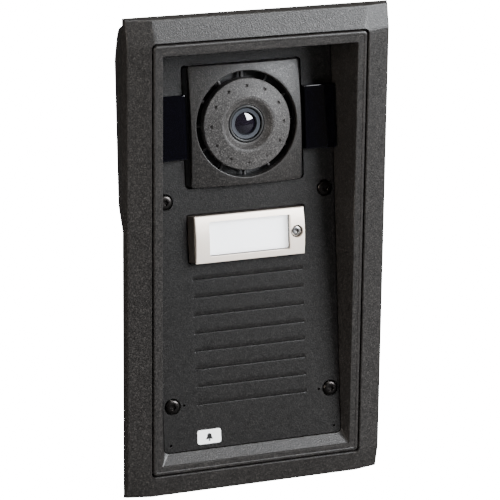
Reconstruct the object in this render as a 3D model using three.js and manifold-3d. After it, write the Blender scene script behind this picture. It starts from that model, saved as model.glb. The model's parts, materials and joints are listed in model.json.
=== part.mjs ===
// Flush-mounted door intercom panel, in millimetres.
// +X is right and +Z is up as a visitor sees it, and +Y goes into the wall.
// The origin is the centre of the frame, on the wall's surface.
import * as THREE from 'three';
import { mergeVertices } from 'three/addons/utils/BufferGeometryUtils.js';
import { ConvexGeometry } from 'three/addons/geometries/ConvexGeometry.js';
import Module from 'manifold-3d';

const wasm = await Module();
wasm.setup();

// ---------------------------------------------------------------- driving dimensions

const TOUCH_GAP = 0.3; // left between any two pieces that touch on the real object
const LAP = 1; // how far a cut goes past what it cuts, and a joined piece into its neighbour
const SKIM = 0.01; // the same for a chamfer that ends on a face
const OUTSIDE = 20; // further out than anything on the plate
const HEX = 6; // sides of a circle, from here to FINE
const SMALL = 14;
const MEDIUM = 20;
const ROUND = 32;
const FINE = 48;
const SIDES = [['left', -1], ['right', 1]];
const ENDS = [['lower', -1], ['upper', 1]];

const HOUSING = {
  width: 109,
  height: 217,
  cornerRadius: 2,
  edgeRadius: 1,
  collarDepth: 14, // how far the wide collar goes behind the wall's surface
  wall: 3,
  tubInset: 3.5, // of the tub behind the collar, on every side
  upperBack: 64, // depth behind the wall's surface, at the top of the upper box
  upperBackFoot: 58.8, // the same, at its foot
  upperLength: 93, // of the upper box, from the top of the tub
  shoulderDrop: 19, // rounded shoulder at the top of the upper box
  shoulderReach: 14,
  shoulderSag: 3, // how far its curve has dropped where it turns down
  slopeLength: 45, // from the upper box down to the lower one
  lowerBack: 34,
  slopeInset: 0.4, // share of an inset by which the foot of the slope drops
};

const FRAME = {
  sideBar: 13, // from the housing's side to the frame's outer edge
  endBar: 12.5, // the same, above and below the housing
  crown: 8, // proud of the wall along the opening
  fall: 2.6, // how far each bar falls back towards its outer edge
  lean: 0.6, // inward lean of the outer side
  edge: 0.5, // rounding of the outer front edge
  clearance: 0.7, // around the housing
  openingChamfer: 0.4,
};

const RECESS = {
  sideRim: 5,
  topRim: 5.7,
  bottomRim: 4.5,
  mouthDepth: 7.3, // height of the mouth's edge over the wall's surface
  mouthRadius: 0.6,
  mouthChamfer: 0.7,
};

const PLATE = {
  tilt: THREE.MathUtils.degToRad(7),
  footY: -2.8, // the plate's lower edge, from the wall's surface
  footRise: 4.4, // of the same edge over the recess's mouth
  headDrop: 1.7, // of the upper edge under the mouth
  sideDraft: 2.1, // taper of each side wall of the recess, from its mouth to the plate
  gap: 0.35,
  thickness: 2.5,
  cornerRadius: 2.3,
};

const GASKET = { thickness: 1, inset: 1 };
const LEDGE = { side: 10.4, low: 8, high: 5, thickness: 3, cornerRadius: 1 };

const PLATE_SCREW = {
  fromSide: 5.5,
  lowerRow: 23.6, // from the plate's lower edge
  upperRow: 76.4, // from its upper edge
  headRadius: 3.7,
  headHeight: 1.9,
  shankRadius: 2,
  length: 9,
  counterboreRadius: 4.1,
  counterboreDepth: 1.1,
  driveRadius: 1.7,
  driveDepth: 1.1,
};

const FRAME_SCREW = {
  fromHousing: 5,
  fromEnd: 20.5,
  headRadius: 2.8,
  headHeight: 2,
  shankRadius: 1.5,
  reach: 4, // into the frame
  driveRadius: 1.2,
  driveDepth: 1,
};
const LUG = { reach: 9.5, height: 14, thickness: 3.5 };
const WALL_SEAL = { inset: 2.1, width: 2, depth: 1.3, outerRadius: 2, innerRadius: 1 };

const CAMERA = {
  fromTop: 40.4, // centre to the plate's upper edge
  faceWidth: 57.4,
  faceHeight: 59.6,
  faceCornerRadius: 0.9,
  faceCrown: 7.7, // height of the domed face over the plate, at its centre
  faceRadius: 165, // of the dome
  faceBack: 1.4,
  faceOverhang: 0.1,
  domeRings: 6,
  baseFlare: 1.8, // how much wider each side is at the plate
  bodyTop: 1.1,
  bodyTaperDepth: 3.6,
  bodyCornerRadius: 1.6,
  openingGap: 0.5,
  slotMargin: 2.7, // from the ring slot to the face's side
  slotWidth: 3.5,
  slotChamfer: 0.5,
  floor: -4, // bottom of the ring slot
  bodyBack: -9,
  rearPocketInset: 2, // of the pocket behind the ring slot's floor, and that floor's thickness
  flange: 3,
  flangeThickness: 2,
};
const SPOKES = { count: 12, top: 0.3, thickness: 1.8, width: 0.9, hubWidth: 4, hubMargin: 1.5, footWidth: 2 };
const DISC = {
  edgeHeight: 5.9,
  edge: 0.5, // its broken outer and inner edges
  bowlLip: 0.1,
  bowlRadius: 12.9,
  bowlHeight: 7.9,
  lensRadius: 9.4,
  lensHeight: 4.9,
  back: 0.6,
  dimpleCount: 12,
  dimpleMargin: 3.6, // from the disc's edge
  dimpleRadius: 0.6,
  dimpleDepth: 0.6,
};
const LENS = {
  ringInner: 7.9,
  ringBack: 1.2,
  ringEdge: 0.3,
  mouthEdge: 0.5,
  glassLip: 1.2, // ledge that holds the glass
  glassRings: 5,
  barrelRadius: 7.6,
  barrelFront: 4.1,
  barrelBack: -17,
  glassRadius: 5.3,
  glassFront: 3.6,
  glassEdge: 2.6,
  glassBack: 0.2,
};
const CAMERA_BOARD = { size: 42, thickness: 1.6 };
const SENSOR = { size: 5.8, thickness: 1.4 };

const IR_WINDOW = {
  belowCamera: 15.3,
  aboveCamera: 16.4,
  height: 4.6,
  wall: 1.8,
  outerGap: 0.4,
  innerGap: 0.4,
  cornerRadius: 0.5,
  edge: 0.4,
};
const IR_BOARD = { thickness: 0.9, ledRadius: 1.4, ledHeight: 0.9, ledCount: 4, feedRadius: 2 };

const BUTTON = {
  faceRadius: 0.6,
  fromTop: 95.8, // centre to the plate's upper edge
  faceWidth: 57.1,
  faceHeight: 23.4,
  faceTop: 4.7, // height of the face's upper and lower edges over the plate
  bulge: 1.4, // how much higher it is half way up
  faceBack: 3.6,
  faceOverhang: 0.15,
  arcSteps: 12, // across the bulge
  baseFlare: 1.85, // how much wider each side is at the plate
  openingGap: 0.5,
  windowSide: 7.35, // from the face's edge to the window
  windowEnd: 3.05,
  windowRadius: 0.8,
  glazing: 1.5,
  glazingSunk: 1.2, // of its back, behind the face's own back
  card: 0.4,
  cardLedge: 1.5,
  bodyBack: -7,
  wall: 1.6,
  flange: 1.3, // ledge behind the plate that stops the button
  flangeThickness: 1.6,
  flangeRadius: 1.5,
  openingRadius: 1,
  travel: 1,
  plungerRadius: 2,
  barWidth: 5, // the bar that carries the plunger
};
const BUTTON_SCREW = {
  fromSide: 4.15,
  headRadius: 2.7,
  counterbore: 3.2,
  headHeight: 1.8,
  sunk: 1,
  shank: 1.5,
  length: 6,
  driveRadius: 1.1,
  driveDepth: 1,
};
const GUIDE = {
  wall: 1.5,
  clearance: 0.6,
  back: -18,
  outerRadius: 2,
  innerRadius: 1,
  wireRadius: 2.5,
  wireX: 12,
};
const SPRING = { fromSide: 7.4, radius: 2.2, wire: 0.35, turns: 4, stepsPerTurn: 10 };
const SWITCH = { size: 6, height: 3.2, floor: 0.8, capRadius: 1.6, capHeight: 0.6 }; // capHeight: pressed
const BUTTON_BOARD = { thickness: 1.2, inset: 4 };

const LOUVRES = {
  pitch: 9,
  first: 23, // the lowest lip, from the plate's lower edge
  topMargin: 5,
  width: 58.4,
  ramp: 2.7,
  depth: 1.2,
  slit: 0.7,
  lipLean: 0.25,
  lap: 0.2,
};
const MIC = {
  fromScrew: 6,
  holeRadius: 0.6,
  bootRadius: 2.5,
  bootBack: -7.6,
  capsuleRadius: 2.1,
  capsuleLength: 2.6,
};
const DRAIN = { fromSide: 3.9, up: 3.9, radius: 0.6 };
const BADGE = { fromSide: 24, up: 6.4, width: 12.4, height: 7.2, radius: 1.1, sunk: 0.5, proud: 0.3 };

const SPEAKER = {
  rimRadius: 31,
  radius: 28,
  rimThickness: 1.6,
  depth: 11,
  wall: 1.4,
  shoulder: 1.5, // below the rim, where the basket starts to narrow
  footRing: 2, // the basket's foot, inside and outside the magnet's edge
  magnetRadius: 14,
  magnetLength: 6,
  coneInner: 8,
  coneThickness: 0.7,
  coneSunk: 0.8,
  coneClear: 2, // over the basket's foot
  coneSeat: 0.5,
  capRadiusLess: 1,
  capRise: 1.5,
  membrane: 0.6,
};
const TAMPER = { up: 14.5, width: 12, height: 7, depth: 7, stemRadius: 1.2, stemLength: 1.2 };

const MAIN_BOARD = { side: 10, fromTop: 17, height: 78, front: 48.4, thickness: 1.6, screwInset: 5 };
const BOARD_SCREW = {
  shankRadius: 1.5,
  headRadius: 2.8,
  headHeight: 1.8,
  reach: 5,
  bossRadius: 3.6,
  driveRadius: 1.1,
  driveDepth: 1,
};
const TERMINALS = {
  width: 20,
  height: 9,
  depth: 10,
  x: 22,
  up: 6,
  screwRadius: 1.3,
  entryDepth: 3,
  poles: 4,
};
const NETWORK_SOCKET = {
  width: 16,
  height: 21,
  depth: 13.5,
  x: 24,
  up: 24,
  mouth: 11.5,
  mouthHeight: 8,
  wall: 2,
};
const RELAY = { width: 15, height: 19, depth: 12, x: -24, up: 24 };
const GLAND = {
  x: 24,
  up: 25, // from the bottom of the tub
  threadRadius: 6,
  threadPastNut: 1,
  hexRadius: 9,
  hexLength: 5,
  domeLength: 8,
  domeSwell: 1.6, // over the thread's radius
  domeTip: 0.8, // share of the thread's radius
  nutLength: 4,
  bore: 3,
  holeGap: 0.3,
};

// ---------------------------------------------------------------- derived sizes

const frameWidth = HOUSING.width + 2 * FRAME.sideBar;
const frameHeight = HOUSING.height + 2 * FRAME.endBar;
const tubWidth = HOUSING.width - 2 * HOUSING.tubInset;
const tubTop = HOUSING.height / 2 - HOUSING.tubInset;
const shoulderZ = tubTop - HOUSING.shoulderDrop;
const upperFootZ = tubTop - HOUSING.upperLength;
const lowerTopZ = upperFootZ - HOUSING.slopeLength;

const mouthWidth = HOUSING.width - 2 * RECESS.sideRim;
const mouthTop = HOUSING.height / 2 - RECESS.topRim;
const mouthBottom = RECESS.bottomRim - HOUSING.height / 2;

// The seat that the plate drops into.
const seatFootZ = mouthBottom + PLATE.footRise;
const seatWidth = mouthWidth - 2 * PLATE.sideDraft;
const seatLength = (mouthTop - PLATE.headDrop - seatFootZ) / Math.cos(PLATE.tilt);

const screwX = seatWidth / 2 - PLATE_SCREW.fromSide;
const screwRows = [PLATE_SCREW.lowerRow, seatLength - PLATE_SCREW.upperRow];
const micX = screwX - MIC.fromScrew;
const drainX = seatWidth / 2 - DRAIN.fromSide;
const badgeX = BADGE.fromSide - seatWidth / 2;
const frameScrewX = HOUSING.width / 2 + FRAME_SCREW.fromHousing;
const frameScrewZ = HOUSING.height / 2 - FRAME_SCREW.fromEnd;

const cameraU = seatLength - CAMERA.fromTop;
const cameraBase = CAMERA.faceWidth + 2 * CAMERA.baseFlare;
const slotRadius = CAMERA.faceWidth / 2 - CAMERA.slotMargin;
const discRadius = slotRadius - CAMERA.slotWidth;

const buttonU = seatLength - BUTTON.fromTop;
const buttonBase = BUTTON.faceWidth + 2 * BUTTON.baseFlare;
const nameWidth = BUTTON.faceWidth - 2 * BUTTON.windowSide;
const nameHeight = BUTTON.faceHeight - 2 * BUTTON.windowEnd;
const buttonScrewX = BUTTON.faceWidth / 2 - BUTTON_SCREW.fromSide;
const springX = buttonBase / 2 - SPRING.fromSide;
const buttonCrown = BUTTON.faceTop + BUTTON.bulge;
const buttonHeadTop = buttonCrown - BUTTON_SCREW.sunk;
const buttonHeadFloor = buttonHeadTop - BUTTON_SCREW.headHeight - TOUCH_GAP;
const glazingBack = BUTTON.faceBack - BUTTON.glazingSunk;
const cardTop = glazingBack - TOUCH_GAP;
const cardBack = cardTop - BUTTON.card;

const louvreRoom = buttonU - BUTTON.faceHeight / 2 - LOUVRES.topMargin - LOUVRES.first - LOUVRES.ramp;
const louvreCount = 1 + Math.floor(louvreRoom / LOUVRES.pitch);
const speakerU = LOUVRES.first + (louvreCount - 1) * LOUVRES.pitch / 2;

// The speaker keeps its own size, unless the room between the button's guide and the tamper switch is less.
const guideLow = buttonU - BUTTON.faceHeight / 2 - BUTTON.flange - GUIDE.clearance - GUIDE.wall;
const tamperHigh = TAMPER.up + TAMPER.height / 2;
const speakerRoom = Math.min(guideLow - speakerU, speakerU - tamperHigh) - TOUCH_GAP;
const speakerScale = Math.min(1, speakerRoom / SPEAKER.rimRadius);

const boardHigh = tubTop - MAIN_BOARD.fromTop;
const boardLow = boardHigh - MAIN_BOARD.height;
const boardWidth = tubWidth - 2 * MAIN_BOARD.side;
const boardScrewX = boardWidth / 2 - MAIN_BOARD.screwInset;
const boardScrewRows = [boardLow + MAIN_BOARD.screwInset, boardHigh - MAIN_BOARD.screwInset];
const glandZ = GLAND.up - tubTop;

// Everything on the plate is written with X to the right, U up along the plate and N out of its face.
const plateGroup = new THREE.Group();
plateGroup.position.set(0, PLATE.footY, seatFootZ);
plateGroup.rotation.x = -PLATE.tilt;
plateGroup.updateMatrixWorld(true);
const panel = new THREE.Group();
panel.add(plateGroup);

const ledgeFront = PLATE.thickness + GASKET.thickness + 2 * TOUCH_GAP;
const ledgeBack = ledgeFront + LEDGE.thickness;
const plateBack = -PLATE.thickness; // along N

// ---------------------------------------------------------------- materials

const material = (color, roughness, metalness) => (
  new THREE.MeshStandardMaterial({ color, roughness, metalness }));
const castPaint = material(0x3b3a3b, 0.62, 0.25);
const platePaint = material(0x363638, 0.66, 0.2);
const blackPlastic = material(0x121212, 0.45, 0);
const darkPlastic = material(0x2a2624, 0.5, 0);
const smokedAcrylic = material(0x06060a, 0.06, 0);
const nickel = material(0xb9b0a6, 0.3, 0.9);
const steel = material(0x8d8f92, 0.32, 0.95);
const darkSteel = material(0x2f3032, 0.35, 0.8);
const clearAcrylic = material(0xe4e8ea, 0.08, 0);
const card = material(0xe9ebee, 0.8, 0);
const rubber = material(0x161616, 0.85, 0);
const lensGlass = material(0x0d1016, 0.03, 0);
const lensCoat = material(0x4a5563, 0.3, 0.6);
const circuitBoard = material(0x1f5a3a, 0.5, 0);
const terminalGreen = material(0x2f8c53, 0.5, 0);
const whitePlastic = material(0xececec, 0.4, 0);
const ferrite = material(0x3a3a3d, 0.6, 0.3);
const paper = material(0x26221f, 0.9, 0);

// ---------------------------------------------------------------- geometry helpers

// A closed three.js geometry as a manifold, with its faces turned outwards.
function solid(geometry) {
  const bare = geometry.index ? geometry.toNonIndexed() : geometry.clone();
  for (const name of Object.keys(bare.attributes)) {
    if (name !== 'position') bare.deleteAttribute(name);
  }
  const merged = mergeVertices(bare, 1e-4);
  const positions = new Float32Array(merged.attributes.position.array);
  const corner = (i) => new THREE.Vector3().fromArray(positions, 3 * i);
  const kept = [];
  let volume = 0;
  for (let i = 0; i < merged.index.count; i += 3) {
    const [a, b, c] = [0, 1, 2].map((k) => merged.index.getX(i + k));
    if (a === b || b === c || a === c) continue;
    kept.push([a, b, c]);
    volume += corner(a).dot(corner(b).cross(corner(c)));
  }
  const turned = volume < 0 ? kept.map(([a, b, c]) => [a, c, b]) : kept;
  const triVerts = new Uint32Array(turned.flat());
  return new wasm.Manifold(new wasm.Mesh({ numProp: 3, vertProperties: positions, triVerts }));
}

function geometryOf(manifold) {
  const mesh = manifold.getMesh();
  const geometry = new THREE.BufferGeometry();
  geometry.setAttribute('position', new THREE.BufferAttribute(new Float32Array(mesh.vertProperties), 3));
  geometry.setIndex(new THREE.BufferAttribute(new Uint32Array(mesh.triVerts), 1));
  geometry.computeVertexNormals();
  return geometry;
}

const cut = (body, ...tools) => tools.reduce((rest, tool) => rest.subtract(tool), body);
const join = (body, ...others) => others.reduce((sum, other) => sum.add(other), body);
const inPanel = (manifold) => solid(geometryOf(manifold).applyMatrix4(plateGroup.matrixWorld));

function piece(name, manifold, look, parent = plateGroup) {
  const mesh = new THREE.Mesh(geometryOf(manifold), look);
  mesh.name = name;
  parent.add(mesh);
  return mesh;
}

// A block given by its limits along X, Y and Z.
function block([x0, x1], [y0, y1], [z0, z1]) {
  const geometry = new THREE.BoxGeometry(x1 - x0, y1 - y0, z1 - z0);
  return solid(geometry.translate((x0 + x1) / 2, (y0 + y1) / 2, (z0 + z1) / 2));
}

// The same, given by X, height along the plate (U) and height out of it (N).
const plateBlock = (x, u, [n0, n1]) => block(x, [-n1, -n0], u);

function roundedRectangle(width, height, radius, x = 0, z = 0) {
  const shape = new THREE.Shape();
  const [w, h] = [width / 2 - radius, height / 2 - radius];
  shape.absarc(x + w, z + h, radius, 0, Math.PI / 2, false);
  shape.absarc(x - w, z + h, radius, Math.PI / 2, Math.PI, false);
  shape.absarc(x - w, z - h, radius, Math.PI, 1.5 * Math.PI, false);
  shape.absarc(x + w, z - h, radius, 1.5 * Math.PI, 2 * Math.PI, false);
  return shape;
}

// A shape in X and Z, given thickness from n0 to n1 towards the visitor.
function slab(shape, n0, n1, curveSegments = 3) {
  const geometry = new THREE.ExtrudeGeometry(shape, { depth: n1 - n0, bevelEnabled: false, curveSegments });
  return solid(geometry.translate(0, 0, n0).rotateX(Math.PI / 2));
}

// The convex body through several outlines, each one a shape at a height N.
function loft(sections, curveSegments = 3) {
  const points = sections.flatMap(([shape, n]) => (
    shape.getPoints(curveSegments).map((p) => new THREE.Vector3(p.x, -n, p.y))));
  return solid(new ConvexGeometry(points));
}

// A turned body about an axis along N: the profile is a list of [radius, n].
function turned(profile, x, z, segments = ROUND) {
  const points = profile.map(([radius, n]) => new THREE.Vector2(radius, n));
  return solid(new THREE.LatheGeometry(points, segments).rotateX(Math.PI).translate(x, 0, z));
}

const rod = (radius, n0, n1, x, z, segments = SMALL) => (
  turned([[0, n0], [radius, n0], [radius, n1], [0, n1]], x, z, segments));

const tube = (inner, outer, n0, n1, x, z, segments = ROUND) => (
  turned([[inner, n0], [outer, n0], [outer, n1], [inner, n1], [inner, n0]], x, z, segments));

// A profile in Y and Z, given width along X.
function alongX(points, x0, x1) {
  const shape = new THREE.Shape(points.map(([y, z]) => new THREE.Vector2(z, y)));
  const geometry = new THREE.ExtrudeGeometry(shape, { depth: x1 - x0, bevelEnabled: false });
  const axes = new THREE.Matrix4().set(0, 0, 1, x0, 0, 1, 0, 0, 1, 0, 0, 0, 0, 0, 0, 1);
  return solid(geometry.applyMatrix4(axes));
}

// ---------------------------------------------------------------- housing

function tubProfile(inset, front) {
  const top = tubTop - inset;
  const shoulderY = HOUSING.upperBack - HOUSING.shoulderReach;
  const shoulder = new THREE.QuadraticBezierCurve(
    new THREE.Vector2(shoulderY, top),
    new THREE.Vector2(HOUSING.upperBack - HOUSING.shoulderReach / 3 - inset, top - HOUSING.shoulderSag),
    new THREE.Vector2(HOUSING.upperBack - inset, shoulderZ),
  );
  return [
    [front, top],
    ...shoulder.getPoints(5).map((p) => [p.x, p.y]),
    [HOUSING.upperBackFoot - inset, upperFootZ],
    [HOUSING.lowerBack - inset, lowerTopZ - inset * HOUSING.slopeInset],
    [HOUSING.lowerBack - inset, -top],
    [front, -top],
  ];
}

function recessCutter() {
  const half = mouthWidth / 2;
  const seat = seatWidth / 2;
  const edgeY = -RECESS.mouthDepth;
  const points = [];
  for (const [, side] of SIDES) {
    points.push(new THREE.Vector3(side * half, edgeY, mouthTop));
    points.push(new THREE.Vector3(side * half, edgeY, mouthBottom));
    points.push(new THREE.Vector3(side * seat, 0, 0).applyMatrix4(plateGroup.matrixWorld));
    points.push(new THREE.Vector3(side * seat, 0, seatLength).applyMatrix4(plateGroup.matrixWorld));
  }
  const wedge = solid(new ConvexGeometry(points));
  const mouthHeight = mouthTop - mouthBottom;
  const mouthZ = (mouthTop + mouthBottom) / 2;
  const wide = 2 * RECESS.mouthChamfer;
  const wideRadius = RECESS.mouthRadius + RECESS.mouthChamfer;
  const chamfer = loft([
    [roundedRectangle(mouthWidth, mouthHeight, RECESS.mouthRadius, 0, mouthZ), RECESS.mouthDepth - 5 * SKIM],
    [roundedRectangle(mouthWidth + wide, mouthHeight + wide, wideRadius, 0, mouthZ), FRAME.crown + SKIM],
  ]);
  const seatPocket = plateBlock([-seat, seat], [0, seatLength], [-ledgeFront, LAP / 2]);
  return join(wedge, chamfer, inPanel(seatPocket));
}

function makeHousing() {
  const { width, height, cornerRadius, edgeRadius, wall } = HOUSING;
  const ring = (inset) => roundedRectangle(width - 2 * inset, height - 2 * inset, cornerRadius);
  const collar = loft([
    [ring(0), -HOUSING.collarDepth],
    [ring(0), FRAME.crown - edgeRadius],
    [ring(edgeRadius * 0.3), FRAME.crown - edgeRadius * 0.3],
    [ring(edgeRadius), FRAME.crown],
  ]);
  const halfTub = tubWidth / 2;
  const tub = alongX(tubProfile(0, 0), -halfTub, halfTub);
  const far = 2 * height;
  const behindLedge = inPanel(plateBlock([-far, far], [-far, far], [-far, -ledgeBack]));
  const cavity = alongX(tubProfile(wall, -OUTSIDE), wall - halfTub, halfTub - wall).intersect(behindLedge);
  const ledgeOpening = slab(ledgeOutline(), -ledgeBack - LAP, LAP);
  const plateHoles = [];
  for (const [, side] of SIDES) {
    for (const row of screwRows) {
      plateHoles.push(rod(PLATE_SCREW.shankRadius + TOUCH_GAP, -ledgeBack - LAP, LAP, side * screwX, row));
    }
    const pocket = MIC.bootRadius + TOUCH_GAP;
    plateHoles.push(rod(pocket, -ledgeBack - LAP, LAP, side * micX, screwRows[0]));
  }
  const lugs = [];
  const lugHoles = [];
  const bosses = [];
  const bossHoles = [];
  const glandHoles = [];
  for (const [, side] of SIDES) {
    const lugFace = width / 2;
    const lugX = [side * (lugFace - LAP), side * (lugFace + LUG.reach)].sort((a, b) => a - b);
    for (const [, end] of ENDS) {
      const z = end * frameScrewZ;
      const lugY = [TOUCH_GAP, TOUCH_GAP + LUG.thickness];
      lugs.push(block(lugX, lugY, [z - LUG.height / 2, z + LUG.height / 2]));
      lugHoles.push(rod(FRAME_SCREW.shankRadius + TOUCH_GAP, -OUTSIDE, LAP, side * frameScrewX, z));
    }
    for (const z of boardScrewRows) {
      const x = side * boardScrewX;
      const bossFront = -(MAIN_BOARD.front + MAIN_BOARD.thickness + TOUCH_GAP);
      bosses.push(rod(BOARD_SCREW.bossRadius, wall / 2 - upperBackAt(z), bossFront, x, z, MEDIUM));
      const bore = BOARD_SCREW.shankRadius + TOUCH_GAP;
      bossHoles.push(rod(bore, bossFront - BOARD_SCREW.reach - TOUCH_GAP, bossFront + LAP, x, z));
    }
    const glandHole = GLAND.threadRadius + GLAND.holeGap;
    const [outside, inside] = [-HOUSING.lowerBack - LAP, wall + LAP - HOUSING.lowerBack];
    glandHoles.push(rod(glandHole, outside, inside, side * GLAND.x, glandZ));
  }
  const shell = cut(join(collar, tub, ...lugs), recessCutter(), cavity, inPanel(ledgeOpening));
  const drilled = cut(shell, ...plateHoles.map(inPanel), ...lugHoles, ...glandHoles);
  piece('housing', cut(join(drilled, ...bosses), ...bossHoles), castPaint, panel);
}

function ledgeOutline() {
  const height = seatLength - LEDGE.low - LEDGE.high;
  return roundedRectangle(seatWidth - 2 * LEDGE.side, height, LEDGE.cornerRadius, 0, LEDGE.low + height / 2);
}

function upperBackAt(z) {
  const { upperBack, upperBackFoot } = HOUSING;
  return upperBackFoot + (upperBack - upperBackFoot) * (z - upperFootZ) / (shoulderZ - upperFootZ);
}

// ---------------------------------------------------------------- flush frame

// Both directions add their own fall, so the four corners lie lowest.
function makeFrame() {
  const { crown, fall, lean, edge, clearance, openingChamfer } = FRAME;
  const openingW = HOUSING.width + 2 * clearance;
  const openingH = HOUSING.height + 2 * clearance;
  const steps = (outer, opening) => [
    [opening, 0],
    [outer - lean - edge, fall],
    [outer - lean - edge * 0.3, fall + edge * 0.25],
    [outer - lean, fall + edge],
  ];
  const points = [];
  for (const [, sx] of SIDES) {
    for (const [, sz] of ENDS) {
      points.push(new THREE.Vector3(sx * frameWidth / 2, 0, sz * frameHeight / 2));
      for (const [x, fallX] of steps(frameWidth / 2, openingW / 2)) {
        for (const [z, fallZ] of steps(frameHeight / 2, openingH / 2)) {
          points.push(new THREE.Vector3(sx * x, fallX + fallZ - crown, sz * z));
        }
      }
    }
  }
  const radius = HOUSING.cornerRadius + clearance;
  const opening = slab(roundedRectangle(openingW, openingH, radius), -LAP, crown + LAP);
  const wide = 2 * openingChamfer;
  const chamfer = loft([
    [roundedRectangle(openingW, openingH, radius), crown - openingChamfer],
    [roundedRectangle(openingW + wide, openingH + wide, radius + openingChamfer), crown + SKIM],
  ]);
  const tools = [opening, chamfer, sealRing(TOUCH_GAP, -LAP)];
  for (const [, sx] of SIDES) {
    for (const [, sz] of ENDS) {
      const bore = FRAME_SCREW.shankRadius + TOUCH_GAP;
      const depth = FRAME_SCREW.reach + TOUCH_GAP;
      tools.push(rod(bore, -LAP, depth, sx * frameScrewX, sz * frameScrewZ));
    }
  }
  piece('flush_frame', cut(solid(new ConvexGeometry(points)), ...tools), castPaint, panel);
  piece('wall_gasket', sealRing(0, 0), rubber, panel);
}

// The rubber ring in the back of the frame; the groove is the same ring with a margin.
function sealRing(margin, back) {
  const { inset, width, depth, outerRadius, innerRadius } = WALL_SEAL;
  const outside = 2 * (inset - margin);
  const inside = 2 * (inset + width + margin);
  const outer = roundedRectangle(frameWidth - outside, frameHeight - outside, outerRadius + margin);
  const inner = roundedRectangle(frameWidth - inside, frameHeight - inside, innerRadius);
  const top = depth + margin;
  return cut(slab(outer, back, top), slab(inner, back - LAP, top + LAP));
}

// A screw with its head at n1 and a six-sided drive. Its head narrows from crownFoot of its height.
function screw(x, z, n0, n1, shankRadius, headRadius, headHeight, driveRadius, driveDepth) {
  const under = n1 - headHeight;
  const [crownFoot, crownTop] = [0.4, 0.6];
  const body = turned([
    [0, n0], [shankRadius, n0], [shankRadius, under], [headRadius, under],
    [headRadius, under + headHeight * crownFoot], [headRadius * crownTop, n1], [0, n1],
  ], x, z, SMALL);
  return cut(body, rod(driveRadius, n1 - driveDepth, n1 + LAP, x, z, HEX));
}

function makeFrameScrews() {
  const { shankRadius, headRadius, headHeight, reach, driveRadius, driveDepth } = FRAME_SCREW;
  const headBack = 2 * TOUCH_GAP + LUG.thickness + headHeight;
  for (const [sideName, side] of SIDES) {
    for (const [endName, end] of ENDS) {
      const facingWall = screw(
        0, 0, -reach, headBack, shankRadius, headRadius, headHeight, driveRadius, driveDepth);
      const turnedRound = geometryOf(facingWall).rotateX(Math.PI);
      const placed = turnedRound.translate(side * frameScrewX, 0, end * frameScrewZ);
      piece(`frame_screw_${endName}_${sideName}`, solid(placed), steel, panel);
    }
  }
}

// ---------------------------------------------------------------- front plate and its gasket

const cameraOpening = () => roundedRectangle(
  cameraBase + 2 * CAMERA.openingGap, CAMERA.faceHeight + 2 * CAMERA.openingGap,
  CAMERA.bodyCornerRadius + CAMERA.openingGap, 0, cameraU);

const buttonOpening = () => roundedRectangle(
  buttonBase + 2 * BUTTON.openingGap, BUTTON.faceHeight + 2 * BUTTON.openingGap,
  BUTTON.openingRadius, 0, buttonU);

function louvreCutters() {
  const { pitch, first, width, ramp, depth, slit, lipLean, lap } = LOUVRES;
  const cutters = [];
  for (let row = 0; row < louvreCount; row += 1) {
    const lip = first + row * pitch;
    const scoop = [
      [lap, lip - lap / 2], [0, lip], [-depth, lip + lipLean],
      [-depth, lip + slit], [0, lip + ramp], [lap, lip + ramp],
    ];
    const across = [-width / 2, width / 2];
    cutters.push(alongX(scoop.map(([n, u]) => [-n, u]), ...across));
    cutters.push(plateBlock(across, [lip + lipLean, lip + slit], [plateBack - LAP, lap / 2 - depth]));
  }
  return cutters;
}

function makePlate() {
  const { gap, cornerRadius } = PLATE;
  const outline = roundedRectangle(
    seatWidth - 2 * gap, seatLength - 2 * gap, cornerRadius, 0, seatLength / 2);
  const tools = [
    slab(cameraOpening(), plateBack - LAP, LAP),
    slab(buttonOpening(), plateBack - LAP, LAP),
    ...louvreCutters(),
    slab(roundedRectangle(
      BADGE.width + 2 * TOUCH_GAP, BADGE.height + 2 * TOUCH_GAP, BADGE.radius + TOUCH_GAP, badgeX, BADGE.up),
    -BADGE.sunk - TOUCH_GAP, LAP),
  ];
  for (const [, side] of SIDES) {
    for (const row of screwRows) {
      const x = side * screwX;
      tools.push(rod(PLATE_SCREW.counterboreRadius, -PLATE_SCREW.counterboreDepth, LAP, x, row, MEDIUM));
      tools.push(rod(PLATE_SCREW.shankRadius + TOUCH_GAP, plateBack - LAP, LAP, x, row));
    }
    tools.push(rod(MIC.holeRadius, plateBack - LAP, LAP, side * micX, screwRows[0], SMALL));
    tools.push(rod(DRAIN.radius, plateBack - LAP, LAP, side * drainX, DRAIN.up, SMALL));
    const feedX = side * irWindowX().reduce((a, b) => a + b) / 2;
    tools.push(rod(IR_BOARD.feedRadius, plateBack - LAP, LAP, feedX, cameraU - IR_WINDOW.belowCamera / 2));
  }
  piece('front_plate', cut(slab(outline, plateBack, 0), ...tools), platePaint);

  for (const [sideName, side] of SIDES) {
    for (const [index, row] of screwRows.entries()) {
      const { shankRadius, headRadius, headHeight, driveRadius, driveDepth, length: reach } = PLATE_SCREW;
      const top = headHeight + TOUCH_GAP - PLATE_SCREW.counterboreDepth;
      const body = screw(
        side * screwX, row, top - reach, top, shankRadius, headRadius, headHeight, driveRadius, driveDepth);
      piece(`plate_screw_${ENDS[index][0]}_${sideName}`, body, darkSteel);
    }
  }

  const { up, width, height, radius, sunk, proud } = BADGE;
  piece('badge_plate', slab(roundedRectangle(width, height, radius, badgeX, up), -sunk, proud), whitePlastic);
}

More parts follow.
